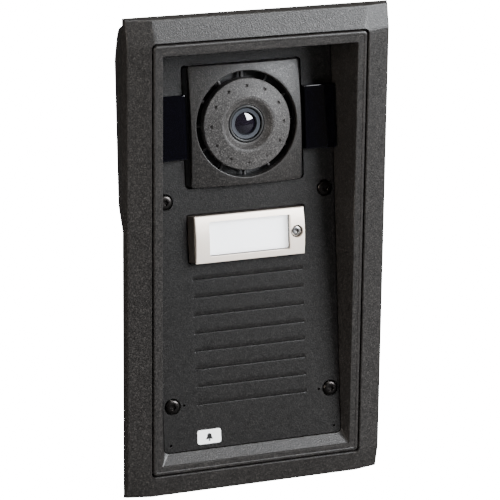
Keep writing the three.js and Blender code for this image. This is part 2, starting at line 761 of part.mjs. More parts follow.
function makePlateGasket() {
  const outer = roundedRectangle(
    seatWidth - 2 * GASKET.inset, seatLength - 2 * GASKET.inset, PLATE.cornerRadius, 0, seatLength / 2);
  const front = plateBack - TOUCH_GAP;
  const back = front - GASKET.thickness;
  const tools = [slab(ledgeOutline(), back - LAP, front + LAP)];
  for (const [, side] of SIDES) {
    for (const row of screwRows) {
      tools.push(rod(PLATE_SCREW.shankRadius + TOUCH_GAP, back - LAP, front + LAP, side * screwX, row));
    }
    const pocket = MIC.bootRadius + TOUCH_GAP;
    tools.push(rod(pocket, back - LAP, front + LAP, side * micX, screwRows[0]));
  }
  piece('plate_gasket', cut(slab(outer, back, front), ...tools), rubber);
}

// ---------------------------------------------------------------- camera

function makeCameraShell() {
  const c = CAMERA;
  const face = (width, height, radius) => roundedRectangle(width, height, radius, 0, cameraU);
  const blank = slab(face(c.faceWidth, c.faceHeight, c.faceCornerRadius), c.faceBack, c.faceCrown + LAP);
  const domeAt = (radius) => c.faceCrown - c.faceRadius + Math.sqrt(c.faceRadius ** 2 - radius ** 2);
  const reach = Math.hypot(c.faceWidth, c.faceHeight) / 2 + LAP;
  const dome = [[0, c.faceBack - LAP], [reach, c.faceBack - LAP]];
  for (let i = c.domeRings; i >= 0; i -= 1) {
    const radius = reach * i / c.domeRings;
    dome.push([radius, domeAt(radius)]);
  }
  const slotHeight = domeAt(slotRadius);
  const bore = rod(slotRadius, c.bodyBack - LAP, c.faceCrown + LAP, 0, cameraU, FINE);
  const chamfer = turned([
    [0, slotHeight - c.slotChamfer], [slotRadius, slotHeight - c.slotChamfer],
    [slotRadius + 2 * c.slotChamfer, slotHeight + c.slotChamfer], [0, slotHeight + c.slotChamfer],
  ], 0, cameraU, FINE);
  piece('camera_bezel', cut(blank.intersect(turned(dome, 0, cameraU, FINE)), bore, chamfer), castPaint);

  const bodyHeight = c.faceHeight - 2 * c.faceOverhang;
  const upper = face(c.faceWidth - 2 * c.faceOverhang, bodyHeight, c.bodyCornerRadius);
  const base = face(cameraBase, bodyHeight, c.bodyCornerRadius);
  const sides = loft([[upper, c.bodyTop], [base, c.bodyTop - c.bodyTaperDepth], [base, c.bodyBack]]);
  const flangeTop = plateBack - TOUCH_GAP;
  const flangeOutline = face(cameraBase + 2 * c.flange, c.faceHeight + 2 * c.flange, c.flange);
  const flange = slab(flangeOutline, flangeTop - c.flangeThickness, flangeTop);
  const well = rod(slotRadius, c.floor, c.bodyTop + LAP, 0, cameraU, FINE);
  const barrelHole = rod(LENS.barrelRadius + TOUCH_GAP, c.bodyBack - LAP, c.floor + LAP, 0, cameraU, ROUND);
  const pocketTop = c.floor - c.rearPocketInset;
  const rearPocket = rod(slotRadius - c.rearPocketInset, c.bodyBack - LAP, pocketTop, 0, cameraU, ROUND);
  piece('camera_body', cut(join(sides, flange), well, barrelHole, rearPocket), blackPlastic);
}

function makeCameraInsert() {
  const hubRadius = discRadius - SPOKES.hubMargin;
  const hubInner = hubRadius - SPOKES.hubWidth;
  const spokeBottom = SPOKES.top - SPOKES.thickness;
  const hub = tube(hubInner, hubRadius, spokeBottom, SPOKES.top, 0, cameraU);
  const foot = tube(
    hubInner, hubInner + SPOKES.footWidth, CAMERA.floor + TOUCH_GAP, spokeBottom + LAP / 5, 0, cameraU);
  const spokes = [];
  for (let i = 0; i < SPOKES.count; i += 1) {
    const [armInner, armOuter] = [hubRadius - LAP, slotRadius - TOUCH_GAP];
    const arm = new THREE.BoxGeometry(armOuter - armInner, SPOKES.thickness, SPOKES.width);
    arm.translate((armOuter + armInner) / 2, -(SPOKES.top + spokeBottom) / 2, 0);
    arm.rotateY(2 * Math.PI * i / SPOKES.count);
    spokes.push(solid(arm.translate(0, 0, cameraU)));
  }
  piece('camera_spoke_ring', join(hub, foot, ...spokes), blackPlastic);

  const { edge, edgeHeight, bowlRadius, bowlHeight, bowlLip, lensRadius, lensHeight, back } = DISC;
  const disc = turned([
    [lensRadius, back], [discRadius, back], [discRadius, edgeHeight - edge], [discRadius - edge, edgeHeight],
    [bowlRadius + edge, bowlHeight], [bowlRadius, bowlHeight - bowlLip],
    [lensRadius, lensHeight], [lensRadius, back],
  ], 0, cameraU, FINE);
  const dimples = [];
  const slope = (bowlHeight - edgeHeight) / (discRadius - edge - bowlRadius - edge);
  const pitchRadius = discRadius - DISC.dimpleMargin;
  const dimpleTop = edgeHeight + slope * (discRadius - edge - pitchRadius);
  for (let i = 0; i < DISC.dimpleCount; i += 1) {
    const angle = 2 * Math.PI * i / DISC.dimpleCount;
    const x = pitchRadius * Math.cos(angle);
    const u = cameraU + pitchRadius * Math.sin(angle);
    dimples.push(rod(DISC.dimpleRadius, dimpleTop - DISC.dimpleDepth, dimpleTop + LAP, x, u, HEX));
  }
  piece('camera_disc', cut(disc, ...dimples), castPaint);
}

function makeLens() {
  const outer = DISC.lensRadius - TOUCH_GAP;
  const top = DISC.lensHeight;
  const { ringInner, ringBack, ringEdge, mouthEdge } = LENS;
  const ring = turned([
    [ringInner, ringBack], [outer, ringBack], [outer, top - ringEdge], [outer - ringEdge, top],
    [ringInner + ringEdge, top], [ringInner, top - ringEdge], [ringInner, ringBack],
  ], 0, cameraU);
  piece('lens_ring', ring, blackPlastic);

  const seat = LENS.glassRadius + TOUCH_GAP;
  const seatFloor = LENS.glassBack - TOUCH_GAP;
  const bore = LENS.glassRadius - LENS.glassLip;
  const barrel = turned([
    [bore, LENS.barrelBack], [LENS.barrelRadius, LENS.barrelBack], [LENS.barrelRadius, LENS.barrelFront],
    [seat + mouthEdge, LENS.barrelFront], [seat, LENS.barrelFront - mouthEdge], [seat, seatFloor],
    [bore, seatFloor], [bore, LENS.barrelBack],
  ], 0, cameraU);
  piece('lens_barrel', barrel, lensCoat);

  const rise = LENS.glassFront - LENS.glassEdge;
  const profile = [[0, LENS.glassBack], [LENS.glassRadius, LENS.glassBack]];
  for (let i = 0; i <= LENS.glassRings; i += 1) {
    const share = i / LENS.glassRings;
    profile.push([LENS.glassRadius * (1 - share), LENS.glassEdge + rise * (1 - (1 - share) ** 2)]);
  }
  piece('lens_glass', turned(profile, 0, cameraU), lensGlass);

  const boardTop = LENS.barrelBack - TOUCH_GAP;
  const half = CAMERA_BOARD.size / 2;
  const sensorHalf = SENSOR.size / 2;
  const sensorBottom = boardTop + TOUCH_GAP;
  const boardBack = boardTop - CAMERA_BOARD.thickness;
  const board = plateBlock([-half, half], [cameraU - half, cameraU + half], [boardBack, boardTop]);
  piece('camera_board', board, circuitBoard);
  piece('image_sensor', plateBlock(
    [-sensorHalf, sensorHalf], [cameraU - sensorHalf, cameraU + sensorHalf],
    [sensorBottom, sensorBottom + SENSOR.thickness]), darkSteel);
}

// ---------------------------------------------------------------- infrared windows

function irWindowX() {
  return [cameraBase / 2 + IR_WINDOW.innerGap, seatWidth / 2 - IR_WINDOW.outerGap];
}

function makeInfrared() {
  const { belowCamera, aboveCamera, height, wall, cornerRadius, edge } = IR_WINDOW;
  const [low, high] = [cameraU - belowCamera, cameraU + aboveCamera];
  const [x0, x1] = irWindowX();
  const width = x1 - x0;
  const middle = (low + high) / 2;
  for (const [name, side] of SIDES) {
    const x = side * (x0 + x1) / 2;
    const outline = (inset) => (
      roundedRectangle(width - 2 * inset, high - low - 2 * inset, cornerRadius, x, middle));
    const cap = loft([[outline(0), TOUCH_GAP], [outline(0), height - edge], [outline(edge), height]]);
    const hollow = slab(outline(wall), TOUCH_GAP - LAP, height - wall);
    piece(`ir_window_${name}`, cut(cap, hollow), smokedAcrylic);

    const inset = wall + TOUCH_GAP;
    const top = 2 * TOUCH_GAP + IR_BOARD.thickness;
    const board = slab(outline(inset), 2 * TOUCH_GAP, top);
    const leds = [];
    for (let i = 0; i < IR_BOARD.ledCount; i += 1) {
      const step = (high - low - 2 * inset) / IR_BOARD.ledCount;
      const u = low + inset + step * (i + 0.5);
      leds.push(rod(IR_BOARD.ledRadius, top - LAP / 5, top + IR_BOARD.ledHeight, x, u));
    }
    piece(`ir_board_${name}`, join(board, ...leds), circuitBoard);
  }
}

// ---------------------------------------------------------------- call button

const buttonOutline = (width, height, radius = BUTTON.faceRadius) => (
  roundedRectangle(width, height, radius, 0, buttonU));

function makeButtonFace() {
  const b = BUTTON;
  const half = b.faceHeight / 2;
  const radius = (half ** 2 + b.bulge ** 2) / (2 * b.bulge);
  const profile = [[-b.faceBack, buttonU - half]];
  for (let i = 0; i <= b.arcSteps; i += 1) {
    const u = half * (2 * i / b.arcSteps - 1);
    profile.push([-(buttonCrown - radius + Math.sqrt(radius ** 2 - u ** 2)), buttonU + u]);
  }
  profile.push([-b.faceBack, buttonU + half]);
  const blank = alongX(profile, -b.faceWidth / 2, b.faceWidth / 2);
  const rounded = blank.intersect(slab(buttonOutline(b.faceWidth, b.faceHeight), 0, OUTSIDE));
  const tools = [
    slab(buttonOutline(nameWidth, nameHeight, b.windowRadius), 0, OUTSIDE),
    rod(BUTTON_SCREW.counterbore, buttonHeadFloor, OUTSIDE, buttonScrewX, buttonU, MEDIUM),
  ];
  piece('button_face', cut(rounded, ...tools), nickel);

  const { shank, headRadius, headHeight, length, driveRadius, driveDepth } = BUTTON_SCREW;
  piece('button_screw', screw(
    buttonScrewX, buttonU, buttonHeadTop - length, buttonHeadTop,
    shank, headRadius, headHeight, driveRadius, driveDepth), steel);
}

function makeButtonGlazing() {
  const b = BUTTON;
  const width = nameWidth - 2 * TOUCH_GAP;
  const height = nameHeight - 2 * TOUCH_GAP;
  const relief = rod(BUTTON_SCREW.counterbore + TOUCH_GAP, 0, OUTSIDE, buttonScrewX, buttonU, MEDIUM);
  const window = slab(buttonOutline(width, height, b.windowRadius), glazingBack, glazingBack + b.glazing);
  piece('name_window', cut(window, relief), clearAcrylic);
  const paperCard = slab(buttonOutline(width, height, b.windowRadius), cardBack, cardTop);
  piece('name_card', cut(paperCard, relief), card);
}

function makeButtonBody() {
  const b = BUTTON;
  const top = b.faceBack - TOUCH_GAP;
  const bodyHeight = b.faceHeight - 2 * b.faceOverhang;
  const upper = buttonOutline(b.faceWidth - 2 * b.faceOverhang, bodyHeight);
  const base = buttonOutline(buttonBase, bodyHeight);
  const sides = loft([[upper, top], [base, 0], [base, b.bodyBack]]);
  const flangeTop = plateBack - TOUCH_GAP;
  const flangeOutline = buttonOutline(buttonBase + 2 * b.flange, b.faceHeight + 2 * b.flange, b.flangeRadius);
  const flange = slab(flangeOutline, flangeTop - b.flangeThickness, flangeTop);
  const seatOutline = buttonOutline(nameWidth + 2 * TOUCH_GAP, nameHeight + 2 * TOUCH_GAP);
  const cardSeat = slab(seatOutline, cardBack - TOUCH_GAP, OUTSIDE);
  const wellOutline = buttonOutline(nameWidth - 2 * b.cardLedge, nameHeight - 2 * b.cardLedge);
  const lightWell = slab(wellOutline, b.bodyBack - LAP, OUTSIDE);
  const screwHole = rod(BUTTON_SCREW.shank + TOUCH_GAP, b.bodyBack - LAP, OUTSIDE, buttonScrewX, buttonU);
  const headClearance = rod(
    BUTTON_SCREW.counterbore, buttonHeadFloor, OUTSIDE, buttonScrewX, buttonU, MEDIUM);
  const bar = plateBlock([-b.barWidth / 2, b.barWidth / 2],
    [buttonU - nameHeight / 2, buttonU + nameHeight / 2], [b.bodyBack, b.bodyBack + b.wall]);
  const plunger = rod(b.plungerRadius, plungerTip(), b.bodyBack + LAP, 0, buttonU);
  const hollow = cut(join(sides, flange), cardSeat, lightWell, screwHole, headClearance);
  piece('button_body', join(hollow, bar, plunger), darkPlastic);
}

const guideFloor = () => GUIDE.back + GUIDE.wall;
const boardTop = () => guideFloor() + TOUCH_GAP + BUTTON_BOARD.thickness;
const switchTop = () => boardTop() + TOUCH_GAP + SWITCH.height;
const capTop = () => switchTop() + TOUCH_GAP + BUTTON.travel + SWITCH.capHeight;
const plungerTip = () => capTop() + TOUCH_GAP;

function makeButtonGuide() {
  const b = BUTTON;
  const innerWidth = buttonBase + 2 * (b.flange + GUIDE.clearance);
  const innerHeight = b.faceHeight + 2 * (b.flange + GUIDE.clearance);
  const front = plateBack - TOUCH_GAP;
  const outline = buttonOutline(innerWidth + 2 * GUIDE.wall, innerHeight + 2 * GUIDE.wall, GUIDE.outerRadius);
  const outer = slab(outline, GUIDE.back, front);
  const inner = slab(buttonOutline(innerWidth, innerHeight, GUIDE.innerRadius), guideFloor(), front + LAP);
  const wireHole = rod(GUIDE.wireRadius, GUIDE.back - LAP, guideFloor() + LAP, GUIDE.wireX, buttonU);
  piece('button_guide', cut(outer, inner, wireHole), blackPlastic);

  const boardHalf = nameWidth / 2 - BUTTON_BOARD.inset;
  const board = plateBlock([-boardHalf, boardHalf],
    [buttonU - nameHeight / 2, buttonU + nameHeight / 2],
    [guideFloor() + TOUCH_GAP, boardTop()]);
  piece('button_board', board, circuitBoard);

  const half = SWITCH.size / 2;
  const bodyFoot = boardTop() + TOUCH_GAP;
  const body = plateBlock([-half, half], [buttonU - half, buttonU + half], [bodyFoot, switchTop()]);
  const wellFloor = bodyFoot + SWITCH.floor;
  const well = rod(SWITCH.capRadius + TOUCH_GAP, wellFloor, switchTop() + LAP, 0, buttonU);
  piece('switch_body', cut(body, well), blackPlastic);
  const capFoot = wellFloor + TOUCH_GAP + b.travel;
  piece('switch_cap', rod(SWITCH.capRadius, capFoot, capTop(), 0, buttonU), darkPlastic);
}

// A coil spring between the guide's floor and the back of the button.
function makeButtonSprings() {
  const foot = guideFloor() + TOUCH_GAP + SPRING.wire;
  const head = BUTTON.bodyBack - TOUCH_GAP - SPRING.wire;
  for (const [name, side] of SIDES) {
    class Helix extends THREE.Curve {
      getPoint(t, target = new THREE.Vector3()) {
        const angle = 2 * Math.PI * SPRING.turns * t;
        return target.set(
          side * springX + SPRING.radius * Math.cos(angle),
          -(foot + (head - foot) * t),
          buttonU + SPRING.radius * Math.sin(angle),
        );
      }
    }
    const section = new THREE.Shape().absarc(0, 0, SPRING.wire, 0, 2 * Math.PI, false);
    const steps = SPRING.turns * SPRING.stepsPerTurn;
    const settings = { steps, curveSegments: 2, extrudePath: new Helix() };
    piece(`button_spring_${name}`, solid(new THREE.ExtrudeGeometry(section, settings)), steel);
  }
}

// ---------------------------------------------------------------- sound

function makeSpeaker() {
  const s = { ...SPEAKER };
  for (const key of ['rimRadius', 'radius', 'magnetRadius', 'coneInner']) {
    s[key] *= speakerScale;
  }
  const membraneTop = plateBack - TOUCH_GAP;
  const membraneBack = membraneTop - s.membrane;
  piece('speaker_membrane', rod(s.rimRadius, membraneBack, membraneTop, 0, speakerU, ROUND), paper);
  const rimTop = membraneBack - TOUCH_GAP;
  const rimBack = rimTop - s.rimThickness;
  const back = rimTop - s.depth;
  const magnetHole = s.coneInner + s.footRing;
  const footRadius = s.magnetRadius + s.footRing;
  const bore = s.radius - s.wall;
  const basket = turned([
    [magnetHole, back], [footRadius, back], [s.radius, rimBack - s.shoulder],
    [s.rimRadius, rimBack], [s.rimRadius, rimTop], [bore, rimTop],
    [bore, rimBack], [footRadius - s.wall, back + s.wall],
    [magnetHole, back + s.wall], [magnetHole, back],
  ], 0, speakerU);
  piece('speaker_basket', basket, darkSteel);
  const coneRim = bore - TOUCH_GAP;
  const coneTop = rimTop - s.coneSunk;
  const coneFoot = back + s.wall + s.coneClear;
  const cone = turned([
    [0, coneFoot + s.capRise], [s.coneInner - s.capRadiusLess, coneFoot - s.coneSeat],
    [coneRim, coneTop - s.coneThickness], [coneRim, coneTop],
    [s.coneInner, coneFoot + s.coneThickness + s.coneSeat], [0, coneFoot + s.capRise + s.coneThickness],
  ], 0, speakerU);
  piece('speaker_cone', cone, paper);
  const magnetTop = back - TOUCH_GAP;
  const magnet = rod(s.magnetRadius, magnetTop - s.magnetLength, magnetTop, 0, speakerU, ROUND);
  piece('speaker_magnet', magnet, ferrite);
}

function makeMicrophones() {
  const front = plateBack - TOUCH_GAP;
  const u = screwRows[0];
  for (const [name, side] of SIDES) {
    const x = side * micX;
    const boot = tube(MIC.holeRadius, MIC.bootRadius, MIC.bootBack, front, x, u, MEDIUM);
    piece(`mic_boot_${name}`, boot, rubber);
    const top = MIC.bootBack - TOUCH_GAP;
    piece(`mic_capsule_${name}`, rod(MIC.capsuleRadius, top - MIC.capsuleLength, top, x, u, MEDIUM), steel);
  }
}

function makeTamperSwitch() {
  const { up, width, height, depth, stemRadius, stemLength } = TAMPER;
  const stemTop = plateBack - TOUCH_GAP;
  const bodyTop = stemTop - stemLength;
  const bodySides = [[-width / 2, width / 2], [up - height / 2, up + height / 2]];
  const body = plateBlock(...bodySides, [bodyTop - depth, bodyTop]);
  piece('tamper_switch', join(body, rod(stemRadius, bodyTop - LAP, stemTop, 0, up)), blackPlastic);
}

// ---------------------------------------------------------------- main board and cable entries

const onBoard = (width, height, depth, x, z) => {
  const back = MAIN_BOARD.front - TOUCH_GAP;
  return block([x - width / 2, x + width / 2], [back - depth, back], [z - height / 2, z + height / 2]);
};

function makeMainBoard() {
  const m = MAIN_BOARD;
  const across = [-boardWidth / 2, boardWidth / 2];
  const blank = block(across, [m.front, m.front + m.thickness], [boardLow, boardHigh]);
  const holes = [];
  for (const [sideName, side] of SIDES) {
    for (const [index, z] of boardScrewRows.entries()) {
      const x = side * boardScrewX;
      const { shankRadius, headRadius, headHeight, reach, driveRadius, driveDepth } = BOARD_SCREW;
      holes.push(rod(shankRadius + TOUCH_GAP, -m.front - m.thickness - LAP, LAP - m.front, x, z));
      const top = TOUCH_GAP + headHeight - m.front;
      const foot = -(m.front + m.thickness + reach);
      const body = screw(x, z, foot, top, shankRadius, headRadius, headHeight, driveRadius, driveDepth);
      piece(`board_screw_${ENDS[index][0]}_${sideName}`, body, steel, panel);
    }
  }
  piece('main_board', cut(blank, ...holes), circuitBoard, panel);

  const t = TERMINALS;
  for (const [name, side] of SIDES) {
    const entries = [];
    for (let i = 0; i < t.poles; i += 1) {
      const x = side * t.x + t.width * ((i + 0.5) / t.poles - 0.5);
      const front = -(m.front - TOUCH_GAP - t.depth);
      entries.push(rod(t.screwRadius, front - t.entryDepth, front + LAP, x, boardLow + t.up));
    }
    const body = cut(onBoard(t.width, t.height, t.depth, side * t.x, boardLow + t.up), ...entries);
    piece(`terminal_block_${name}`, body, terminalGreen, panel);
  }

  const s = NETWORK_SOCKET;
  const mouthX = [s.x - s.mouth / 2, s.x + s.mouth / 2];
  const socketFront = m.front - TOUCH_GAP - s.depth;
  const mouthY = [socketFront + s.wall, socketFront + s.wall + s.mouthHeight];
  const mouth = block(mouthX, mouthY, [boardLow + s.up + s.wall, boardLow + s.up + s.height]);
  const socket = onBoard(s.width, s.height, s.depth, s.x, boardLow + s.up);
  piece('network_socket', cut(socket, mouth), steel, panel);
  const r = RELAY;
  piece('door_relay', onBoard(r.width, r.height, r.depth, r.x, boardLow + r.up), blackPlastic, panel);
}

function makeGlands() {
  const g = GLAND;
  const outside = -HOUSING.lowerBack;
  const inside = outside + HOUSING.wall;
  for (const [name, side] of SIDES) {
    const x = side * g.x;
    const hexBack = outside - TOUCH_GAP - g.hexLength;
    const hex = rod(g.hexRadius, hexBack, outside - TOUCH_GAP, x, glandZ, HEX);
    const threadEnd = inside + TOUCH_GAP + g.nutLength + g.threadPastNut;
    const thread = rod(g.threadRadius, hexBack, threadEnd, x, glandZ);
    const domeRadius = g.threadRadius + g.domeSwell;
    const domeBack = hexBack - g.domeLength;
    const dome = turned([
      [0, domeBack], [g.threadRadius * g.domeTip, domeBack], [domeRadius, (hexBack + domeBack) / 2],
      [domeRadius, hexBack + LAP / 2], [0, hexBack + LAP / 2],
    ], x, glandZ);
    const bore = rod(g.bore, domeBack - LAP, OUTSIDE, x, glandZ, MEDIUM);
    piece(`cable_gland_${name}`, cut(join(hex, thread, dome), bore), blackPlastic, panel);
    const nutFront = inside + TOUCH_GAP;
    const nut = rod(g.hexRadius, nutFront, nutFront + g.nutLength, x, glandZ, HEX);
    const nutBore = rod(g.threadRadius + TOUCH_GAP, nutFront - LAP, nutFront + g.nutLength + LAP, x, glandZ);
    piece(`gland_nut_${name}`, cut(nut, nutBore), darkPlastic, panel);
  }
}

// ---------------------------------------------------------------- assembly

makeHousing();
makeFrame();
makeFrameScrews();
makePlate();
makePlateGasket();
makeCameraShell();
makeCameraInsert();
makeLens();
makeInfrared();
makeButtonFace();
makeButtonGlazing();
makeButtonBody();
makeButtonGuide();
makeButtonSprings();
makeSpeaker();
makeMicrophones();
makeTamperSwitch();
makeMainBoard();
makeGlands();

export default panel;
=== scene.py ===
# %% [markdown]
# # A flush door intercom panel
#
# This lesson dresses a packed CAD model of an outdoor intercom: a cast frame that lies on the wall, a box
# let into the wall behind it, and a plate that leans back inside the box with a camera, a call button and
# a louvred speaker. The CAD gives every place and every size. Blender adds what CAD leaves out: rounded
# edges, powder coat, brushed nickel, glass and light.
#
# All the shapes are surfaces worked out with numpy. A shape is a grid of points, where rows follow one
# parameter and columns follow the other, and each cell of the grid becomes one face.

# %% Start from an empty scene and load the frame
import json
import math

import bmesh
import bpy
import numpy as np
from mathutils import Matrix, Vector

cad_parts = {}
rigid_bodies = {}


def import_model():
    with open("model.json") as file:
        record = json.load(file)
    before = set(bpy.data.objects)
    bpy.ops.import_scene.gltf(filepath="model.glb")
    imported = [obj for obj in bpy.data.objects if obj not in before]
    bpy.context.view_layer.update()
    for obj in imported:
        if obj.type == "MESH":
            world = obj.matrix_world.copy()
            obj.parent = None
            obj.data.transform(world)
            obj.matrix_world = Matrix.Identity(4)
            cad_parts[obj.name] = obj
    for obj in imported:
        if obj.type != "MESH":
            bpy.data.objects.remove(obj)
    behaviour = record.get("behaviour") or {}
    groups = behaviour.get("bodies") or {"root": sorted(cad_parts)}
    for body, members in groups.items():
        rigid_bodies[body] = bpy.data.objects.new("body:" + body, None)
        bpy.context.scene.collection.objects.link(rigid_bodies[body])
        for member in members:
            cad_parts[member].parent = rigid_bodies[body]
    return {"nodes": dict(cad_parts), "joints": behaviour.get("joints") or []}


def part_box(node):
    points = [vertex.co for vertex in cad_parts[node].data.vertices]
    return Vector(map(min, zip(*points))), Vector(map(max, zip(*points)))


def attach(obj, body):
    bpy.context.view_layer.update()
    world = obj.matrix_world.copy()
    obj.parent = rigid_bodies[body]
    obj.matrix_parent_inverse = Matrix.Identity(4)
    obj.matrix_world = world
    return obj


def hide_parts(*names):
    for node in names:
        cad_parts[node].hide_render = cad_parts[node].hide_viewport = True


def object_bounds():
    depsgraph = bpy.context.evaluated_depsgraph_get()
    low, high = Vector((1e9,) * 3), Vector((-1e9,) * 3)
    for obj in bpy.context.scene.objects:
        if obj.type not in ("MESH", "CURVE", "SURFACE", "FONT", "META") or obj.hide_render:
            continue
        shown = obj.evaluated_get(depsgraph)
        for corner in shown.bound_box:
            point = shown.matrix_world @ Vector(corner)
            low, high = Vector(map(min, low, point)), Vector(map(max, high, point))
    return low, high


for leftover in list(bpy.data.objects):
    bpy.data.objects.remove(leftover)


def linked(thing):
    """Puts a new object into the scene."""
    bpy.context.scene.collection.objects.link(thing)
    return thing


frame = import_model()
cad_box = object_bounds()
MM = 0.001

# %% [markdown]
# ## Two sets of axes
#
# The box and the frame are square to the wall, but the plate leans back. Working on a leaning plate in
# the room's axes is hard to read, so the plate gets its own: x to the right, s up along its face from its
# lower edge, and n out of its face. The lean comes from the call button's own joint, because a button is
# pressed straight into the plate, and the lower edge comes from the plate's box.

# %% The plate's own axes
PLATE_GAP = 0.35
PLATE_THICK = 2.5

press_axis = next(j["axis"] for j in frame["joints"] if j["name"] == "button_press")
lean = math.asin(-press_axis[2])
sin_lean, cos_lean = math.sin(lean), math.cos(lean)
plate_low, plate_high = (np.array(corner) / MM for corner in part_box("front_plate"))
foot_y = plate_low[1] - PLATE_GAP * sin_lean
foot_z = plate_low[2] - PLATE_GAP * cos_lean + PLATE_THICK * sin_lean
plate_width = plate_high[0] - plate_low[0]
print(f"the plate leans {math.degrees(lean):.2f} degrees and is {plate_width:.1f} mm wide")


def on_plate(points):
    """Points (x, s, n) of the plate as points of the room: s goes up along the leaning face, so it adds
    sin(lean) of depth and cos(lean) of height; n goes out of the face, square to that."""
    x, s, n = np.moveaxis(np.asarray(points, float), -1, 0)
    return np.stack([x, foot_y + s * sin_lean - n * cos_lean, foot_z + s * cos_lean + n * sin_lean], -1)


def on_wall(points):
    """Points (x, z, n) with n straight out of the wall, as points of the room: y is -n."""
    x, z, n = np.moveaxis(np.asarray(points, float), -1, 0)
    return np.stack([x, -n, z], -1)


def corners_of(node):
    """Every vertex of a CAD node, in millimetres of the room."""
    mesh = frame["nodes"][node].data
    flat = np.empty(len(mesh.vertices) * 3)
    mesh.vertices.foreach_get("co", flat)
    return flat.reshape(-1, 3) / MM


def plate_box(node):
    """Lowest and highest (x, s, n) of a CAD node: on_plate, turned the other way."""
    x, y, z = corners_of(node).T
    depth, rise = y - foot_y, z - foot_z
    own = np.stack([x, depth * sin_lean + rise * cos_lean, rise * sin_lean - depth * cos_lean], -1)
    return own.min(0), own.max(0)


def wall_box(node):
    """Lowest and highest (x, z, n) of a CAD node."""
    low, high = (np.array(corner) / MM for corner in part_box(node))
    return np.array([low[0], low[2], -high[1]]), np.array([high[0], high[2], -low[1]])


def middle_of(box):
    """The middle of a box across its face: (x, s) on the plate, (x, z) on the wall."""
    return (box[0] + box[1])[:2] / 2


def size_of(box):
    """The width and the height of a box across its face."""
    return (box[1] - box[0])[:2]


plate_length = plate_box("front_plate")[1][1] + PLATE_GAP
print(f"the seat of the plate is {plate_length:.1f} mm long")

# %% [markdown]
# ## The camera
#
# The view is a long lens from the left of the panel and a little above it. It is given as an angle round
# the panel, an angle above the horizon, a distance and a slight roll, which together make the camera's
# three axes. Nothing is focused or shifted, so the same lens can look from any other side.

# %% Camera
VIEW_AZIMUTH, VIEW_ELEVATION, VIEW_ROLL = np.radians([-20.87, 17.43, 0.64])
VIEW_DISTANCE, VIEW_LENS = 1.3118, 193.06
VIEW_TARGET = Vector((-0.00206, 0.0, 0.00098))

back = Vector((math.sin(VIEW_AZIMUTH) * math.cos(VIEW_ELEVATION),
               -math.cos(VIEW_AZIMUTH) * math.cos(VIEW_ELEVATION), math.sin(VIEW_ELEVATION)))
level_right = (-back).cross(Vector((0, 0, 1))).normalized()
level_up = level_right.cross(-back)
right = math.cos(VIEW_ROLL) * level_right + math.sin(VIEW_ROLL) * level_up
up = math.cos(VIEW_ROLL) * level_up - math.sin(VIEW_ROLL) * level_right

camera = linked(bpy.data.objects.new("camera", bpy.data.cameras.new("camera")))
camera.data.lens = VIEW_LENS
camera.data.clip_start, camera.data.clip_end = 0.05, 20
turn = Matrix((right, up, back)).transposed().to_4x4()
camera.matrix_world = Matrix.Translation(VIEW_TARGET + back * VIEW_DISTANCE) @ turn
bpy.context.scene.camera = camera
print("camera at", [round(c, 3) for c in camera.matrix_world.translation])

# %% [markdown]
# ## Shader maths that reads like maths
#
# A node graph soon gets unreadable in code. Here one small class stands for a node's output and knows
# how to add, subtract and multiply, so that `0.4 + 0.1 * grain` adds the Math nodes by itself. A second
# class is a finish: one material, and one method that makes any node that isn't plain arithmetic.

# %% A socket that can be used in sums
class Wire:
    """One output of a node. Sums with numbers or other wires add Math nodes."""

    def __init__(self, finish, socket):
        self.finish, self.socket = finish, socket

    def maths(self, operation, first, second):
        return self.finish.node("ShaderNodeMath", {"operation": operation}, {0: first, 1: second})

    def __add__(self, other):
        return self.maths("ADD", self, other)

    def __sub__(self, other):
        return self.maths("SUBTRACT", self, other)

    def __mul__(self, other):
        return self.maths("MULTIPLY", self, other)

    __radd__ = __add__
    __rmul__ = __mul__


print("a wire knows", [name for name in vars(Wire) if name.endswith(("add__", "sub__", "mul__"))])


